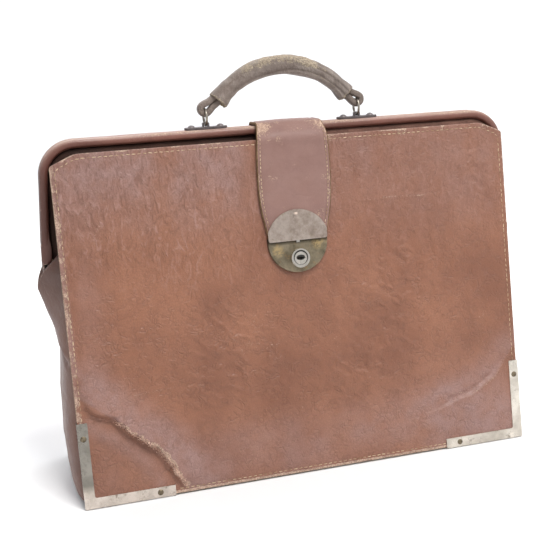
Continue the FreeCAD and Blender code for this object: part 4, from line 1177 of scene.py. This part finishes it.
def strap():
    """The strap's leather, with its seams' grooves, its raw edges and the wear where it bends."""
    path = strap_line()
    along = travelled(path)
    across, down = path_frames(path, (1, 0, 0))
    out = -down
    places, half, shift = (np.array(STRAP_WIDTHS) * MM).T
    half = np.interp(along, places, half)
    half = np.convolve(np.pad(half, 4, mode="edge"), np.ones(9) / 9, "valid")
    shift = np.interp(along, places, shift)
    flat = np.linspace(-1.0, 1.0, 44)
    body = half - STRAP_THICK * 0.4
    u = flat * body[:, None]
    v = np.broadcast_to(along[:, None], u.shape)
    edge = half[:, None] - np.abs(u)
    crown = 0.25 * MM * (1 - flat ** 2)
    groove = -0.45 * MM * bell(edge - STRAP_SEAM, 1.0 * MM)
    skin = 0.10 * MM * ragged(u, v, 0.009, 210, 3) + 0.35 * MM * ragged(u, v, 0.045, 216, 2)
    bend = math.pi * np.array([0.35, 0.75])
    bow = body[:, None] + STRAP_THICK * 0.4 * np.sin(bend)
    bow_rise = np.broadcast_to(STRAP_THICK / 2 * np.cos(bend), bow.shape)
    sideways = np.concatenate([u, bow, u[:, ::-1], -bow[:, ::-1]], axis=1)
    rise = np.concatenate([STRAP_THICK / 2 + crown + groove + skin, bow_rise,
                           np.full(u.shape, -STRAP_THICK / 2), bow_rise[:, ::-1]], axis=1)
    rows = carried(path, across, out, np.stack([sideways + shift[:, None], rise], axis=-1))
    fray = 0.7 + 0.5 * bumps(along, 0.0 * along, 0.009, 221)
    patch = np.clip(ragged(u, v, 0.012, 222, 3), 0, 1)
    worn = 0.62 * smooth(2.4 * MM, 0.4 * MM, edge) * fray[:, None] + bell(along - 0.102, 0.010)[:, None] * (
        0.12 + 0.46 * patch + 0.38 * smooth(0.020, 0.004, edge))
    worn = worn + 0.36 * smooth(0.45, 1.1, ragged(u - 0.01, v, 0.011, 224, 4))
    worn = np.concatenate([worn, np.ones(bow.shape), np.zeros(u.shape), np.ones(bow.shape)], axis=1)
    raw = np.ones(rise.shape[1], int)
    raw[:len(flat) - 1] = 0
    raw[len(flat) + 2:2 * len(flat) + 1] = 0
    piece = new_piece("strap_hide", rows, tube_faces(*rise.shape), ["strap", "strap_edge"],
                      [*np.tile(raw, len(path) - 1), 1, 1], flip=True)
    paint(piece, wear=np.clip(worn, 0, 1), haze=0.5)
    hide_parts("strap_leather")
    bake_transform(piece)

    def lift(flat_places):
        centre = between(path, along, flat_places[:, 1])
        normal = unit_rows(between(out, along, flat_places[:, 1]))
        centre[:, 0] += flat_places[:, 0] + np.interp(flat_places[:, 1], along, shift)
        return centre + normal * (STRAP_THICK / 2 - 0.1 * MM), normal

    run = np.arange(3 * MM, 97 * MM, 2 * MM)
    width = np.interp(run, along, half) - STRAP_SEAM
    for hand in (-1, 1):
        stitches(f"strap_seam_{HAND_NAME[hand]}", np.stack([hand * width, run], axis=1), lift, "strap",
                 17 + hand, pitch=3.6 * MM)


# ---------------------------------------------------------------- handle

GRIP_RADIUS = 79.0 * MM
GRIP_HALF_SWEEP = math.radians(48.0)


def handle_arc():
    """Centre of the grip's arc and half its thickness across and up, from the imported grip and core."""
    low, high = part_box("handle_wrap")
    core_low, core_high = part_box("handle_core")
    half_up = (high.z - core_high.z) + (core_high.y - core_low.y) / 2
    centre = Vector(((low.x + high.x) / 2, (low.y + high.y) / 2, high.z - half_up - GRIP_RADIUS))
    return centre, (high.y - low.y) / 2, half_up


def grip():
    """The leather rolled round the handle: a lapped seam, cross wrinkles, a frayed top and ragged ends."""
    centre, half_y, half_z = handle_arc()
    count, sides = 160, 56
    angle = np.linspace(-GRIP_HALF_SWEEP - 0.055, GRIP_HALF_SWEEP + 0.075, count)
    path = xyz(centre.x + GRIP_RADIUS * np.sin(angle), centre.y,
               centre.z + (GRIP_RADIUS - 1.0 * MM) * np.cos(angle))
    across, up = path_frames(path, (0, 1, 0))
    base = oval(half_y, half_z + 1.2 * MM, power=2.2, count=sides)
    turn = np.linspace(0, 2 * math.pi, sides, endpoint=False)
    s, f = np.meshgrid(GRIP_RADIUS * angle, turn, indexing="ij")
    swell = 0.35 * MM * ragged(s, f * 0.008, 0.02, 301, 3)
    wrinkles = bumps(s + 0.006 * np.sin(f), f * 0.004, 0.0055, 305)
    swell += 0.42 * MM * wrinkles * smooth(0.022, 0.060, np.abs(s))
    lap_angle = math.radians(232) - math.radians(30) * smooth(-0.02, 0.03, s) + 0.06 * np.sin(s / 0.02)
    lap = smooth(-0.05, 0.05, f - lap_angle) * smooth(0.9, 0.2, f - lap_angle)
    swell += 1.1 * MM * lap
    fold_angle = math.radians(148) + math.radians(14) * smooth(0.0, 0.05, s) + 0.07 * np.sin(s / 0.011)
    swell += 0.8 * MM * smooth(0.04, -0.04, f - fold_angle) * smooth(0.055, 0.035, np.abs(s - 0.01))
    top = smooth(0.25, 0.95, np.sin(f - 0.5))
    crust = ragged(s, f * 0.007, 0.007, 311, 3)
    middle = smooth(0.056, 0.024, np.abs(s - 0.002))
    swell += 0.5 * MM * top * middle * crust
    long_lines = ragged(f * 0.009, s * 0.12, 0.0042, 315, 2) * smooth(-0.01, 0.02, s)
    swell += 0.7 * MM * long_lines
    ring = base[None] * (1 + (swell / np.hypot(base[:, 0], base[:, 1])[None]))[..., None]
    slim = 1.0 - 0.06 * smooth(0.030, 0.055, np.abs(s)) + 0.16 * smooth(0.058, 0.072, np.abs(s))
    ring = ring * slim[..., None]
    rows = carried(path, across, up, ring)
    tangent = unit_rows(np.gradient(path, axis=0))
    tear = 1.3 * MM * ragged(turn * 0.009, turn * 0, 0.006, 321, 3)
    for row, way in ((0, -1), (1, -0.6), (2, -0.3), (-1, 1), (-2, 0.6), (-3, 0.3)):
        rows[row] += (tangent[row] * way)[None] * tear[:, None]
    inner = []
    for row, inward in ((0, 3), (-1, -3)):
        rows[row] += (path[row] - rows[row]) * 0.10
        inner.append(path[row] + (rows[row] - path[row]) * 0.72 + tangent[row] * inward * MM)
    points = np.concatenate([rows.reshape(-1, 3), *inner])
    faces = grid_faces(count, sides, around=True)
    last, total = (count - 1) * sides, count * sides
    for k in range(sides):
        n = (k + 1) % sides
        faces.append((n, k, total + k, total + n))
        faces.append((last + k, last + n, total + sides + n, total + sides + k))
    faces.append(tuple(total + k for k in reversed(range(sides))))
    faces.append(tuple(total + sides + k for k in range(sides)))
    slots = [0] * ((count - 1) * sides) + [1] * (2 * sides + 2)
    piece = new_piece("grip_wrap", points, faces, ["grip", "raw"], slots)
    worn = 0.72 * top * middle * (0.75 + 0.6 * crust) + 0.55 * bell(f - lap_angle - 0.03, 0.10) * (
        0.5 + 0.5 * ragged(s, f * 0.01, 0.012, 330, 2))
    worn += 0.6 * smooth(0.0045, 0.0, np.minimum(s - s.min(), s.max() - s))
    # painted sheen on the raised leather, with less under the edges of the lap and the fold as painted shade
    under_edge = bell(f - lap_angle + 0.10, 0.10) * smooth(-0.03, 0.0, s) + bell(f - fold_angle - 0.10, 0.10)
    raised = np.clip(0.45 + 0.7 * swell / (1.0 * MM) - under_edge, 0, 1)
    paint(piece, wear=np.concatenate([np.clip(worn, 0, 1).ravel(), np.ones(2 * sides)]),
          haze=np.concatenate([raised.ravel(), np.full(2 * sides, 0.5)]), streak=0.35)
    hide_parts("handle_wrap")
    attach(piece, "handle")


def eye(hand):
    """A folded strip of leather that comes out of the grip, passes through the ring and goes back in."""
    name = HAND_NAME[hand]
    centre, _, _ = handle_arc()
    ring_low, ring_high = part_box(f"handle_ring_{name}")
    wire = (ring_high.x - ring_low.x) / 2
    outward = np.array([hand * math.sin(GRIP_HALF_SWEEP), math.cos(GRIP_HALF_SWEEP)])
    start = np.array([centre.x, centre.z]) + GRIP_RADIUS * outward
    finish = np.array([(ring_low.x + ring_high.x) / 2, ring_high.z - wire])
    run = (finish - start) / np.linalg.norm(finish - start)
    broad = np.array([-run[1], run[0]])
    if np.dot(broad, outward) < 0:
        broad = -broad
    thick, wide, bow = 6.0 * MM, 8.8 * MM, 4.2 * MM
    # half of the strip's way through the ring: a place, how far beside it, and the radius of the bend there
    half = [(start - run * 7 * MM, 2.2 * MM, 0), (start, 3.0 * MM, 4 * MM),
            (finish - run * 7 * MM, 2.95 * MM, 5 * MM), (finish - run * 1.5 * MM, bow, 5 * MM),
            (finish + run * bow, bow, bow * 0.98)]
    chain = [place + broad * beside for place, beside, _ in half]
    chain += [place - broad * beside for place, beside, _ in reversed(half)]
    radii = [bend for _, _, bend in half + half[::-1]]
    chain = resample(rounded(chain, radii, step=0.5 * MM), 0.8 * MM)
    path = xyz(chain[:, 0], centre.y, chain[:, 1])
    across, up = path_frames(path, (0, 1, 0))
    ring = oval(wide / 2, thick / 2, power=3.4, count=24)
    rng = np.random.default_rng(400 + hand)
    wobble = np.convolve(rng.uniform(-1, 1, len(path) + 8), np.ones(9) / 9, "valid")
    scale = np.stack([1 + 0.10 * wobble, 1 + 0.16 * wobble[::-1]], axis=1)
    piece = tube(f"eye_{name}", path, across, up, ring * scale[:, None], ["grip"])
    paint(piece, wear=0.22 * smooth(0.85, 1.0, np.abs(ring[:, 0]) / (wide / 2)), haze=0.4)
    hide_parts(f"handle_eye_{name}")
    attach(piece, "handle")


camera()
studio()
for panel_side in (FRONT, BACK):
    panel_leather(panel_side)
    cloth_leaf(panel_side)
    rim(panel_side)
    valance(panel_side)
    for gusset_hand in (-1, 1):
        gusset_half(gusset_hand, panel_side)
for leg_hand in (-1, 1):
    pin_tab(leg_hand)
    leg_end(leg_hand)
base_slab("base_leather", "gusset")
base_slab("base_lining", "lining")
strap()
grip()
for eye_hand in (-1, 1):
    eye(eye_hand)

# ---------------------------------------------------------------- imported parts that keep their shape

KEPT_PARTS = {
    "nickel": ["front_guard_right", "back_guard_left", "back_guard_right"],
    "shaded_nickel": ["front_guard_left"],
    "rivet": ["front_guard_rivets", "back_guard_rivets", "strap_rivets", "hinge_pin_left",
              "hinge_pin_right"],
    "board": ["front_panel_board", "back_panel_board", "base_board", "handle_core"],
    "steel": ["front_frame_bar", "back_frame_bar", "lock_case", "lock_bolt"],
    "hasp": ["hasp_plate", "hasp_rivet"],
    "brass": ["lock_plate"],
    "lock": ["hasp_staple"],
    "bezel": ["lock_barrel"],
    "plug": ["lock_plug"],
    "plate": ["handle_plate_left", "handle_plate_right", "handle_plate_rivets"],
    "wire": ["handle_ring_left", "handle_ring_right"],
}
EDGE_SOFTNESS = {"nickel": 0.25 * MM, "shaded_nickel": 0.25 * MM, "hasp": 0.35 * MM, "brass": 0.8 * MM,
                 "bezel": 0.9 * MM, "plug": 0.3 * MM, "plate": 0.3 * MM}
for finish_name, node_names in KEPT_PARTS.items():
    for node_name in node_names:
        node = frame["nodes"][node_name]
        node.data.materials.clear()
        node.data.materials.append(MATERIAL[finish_name])
        if finish_name in EDGE_SOFTNESS:
            soften(node, EDGE_SOFTNESS[finish_name])
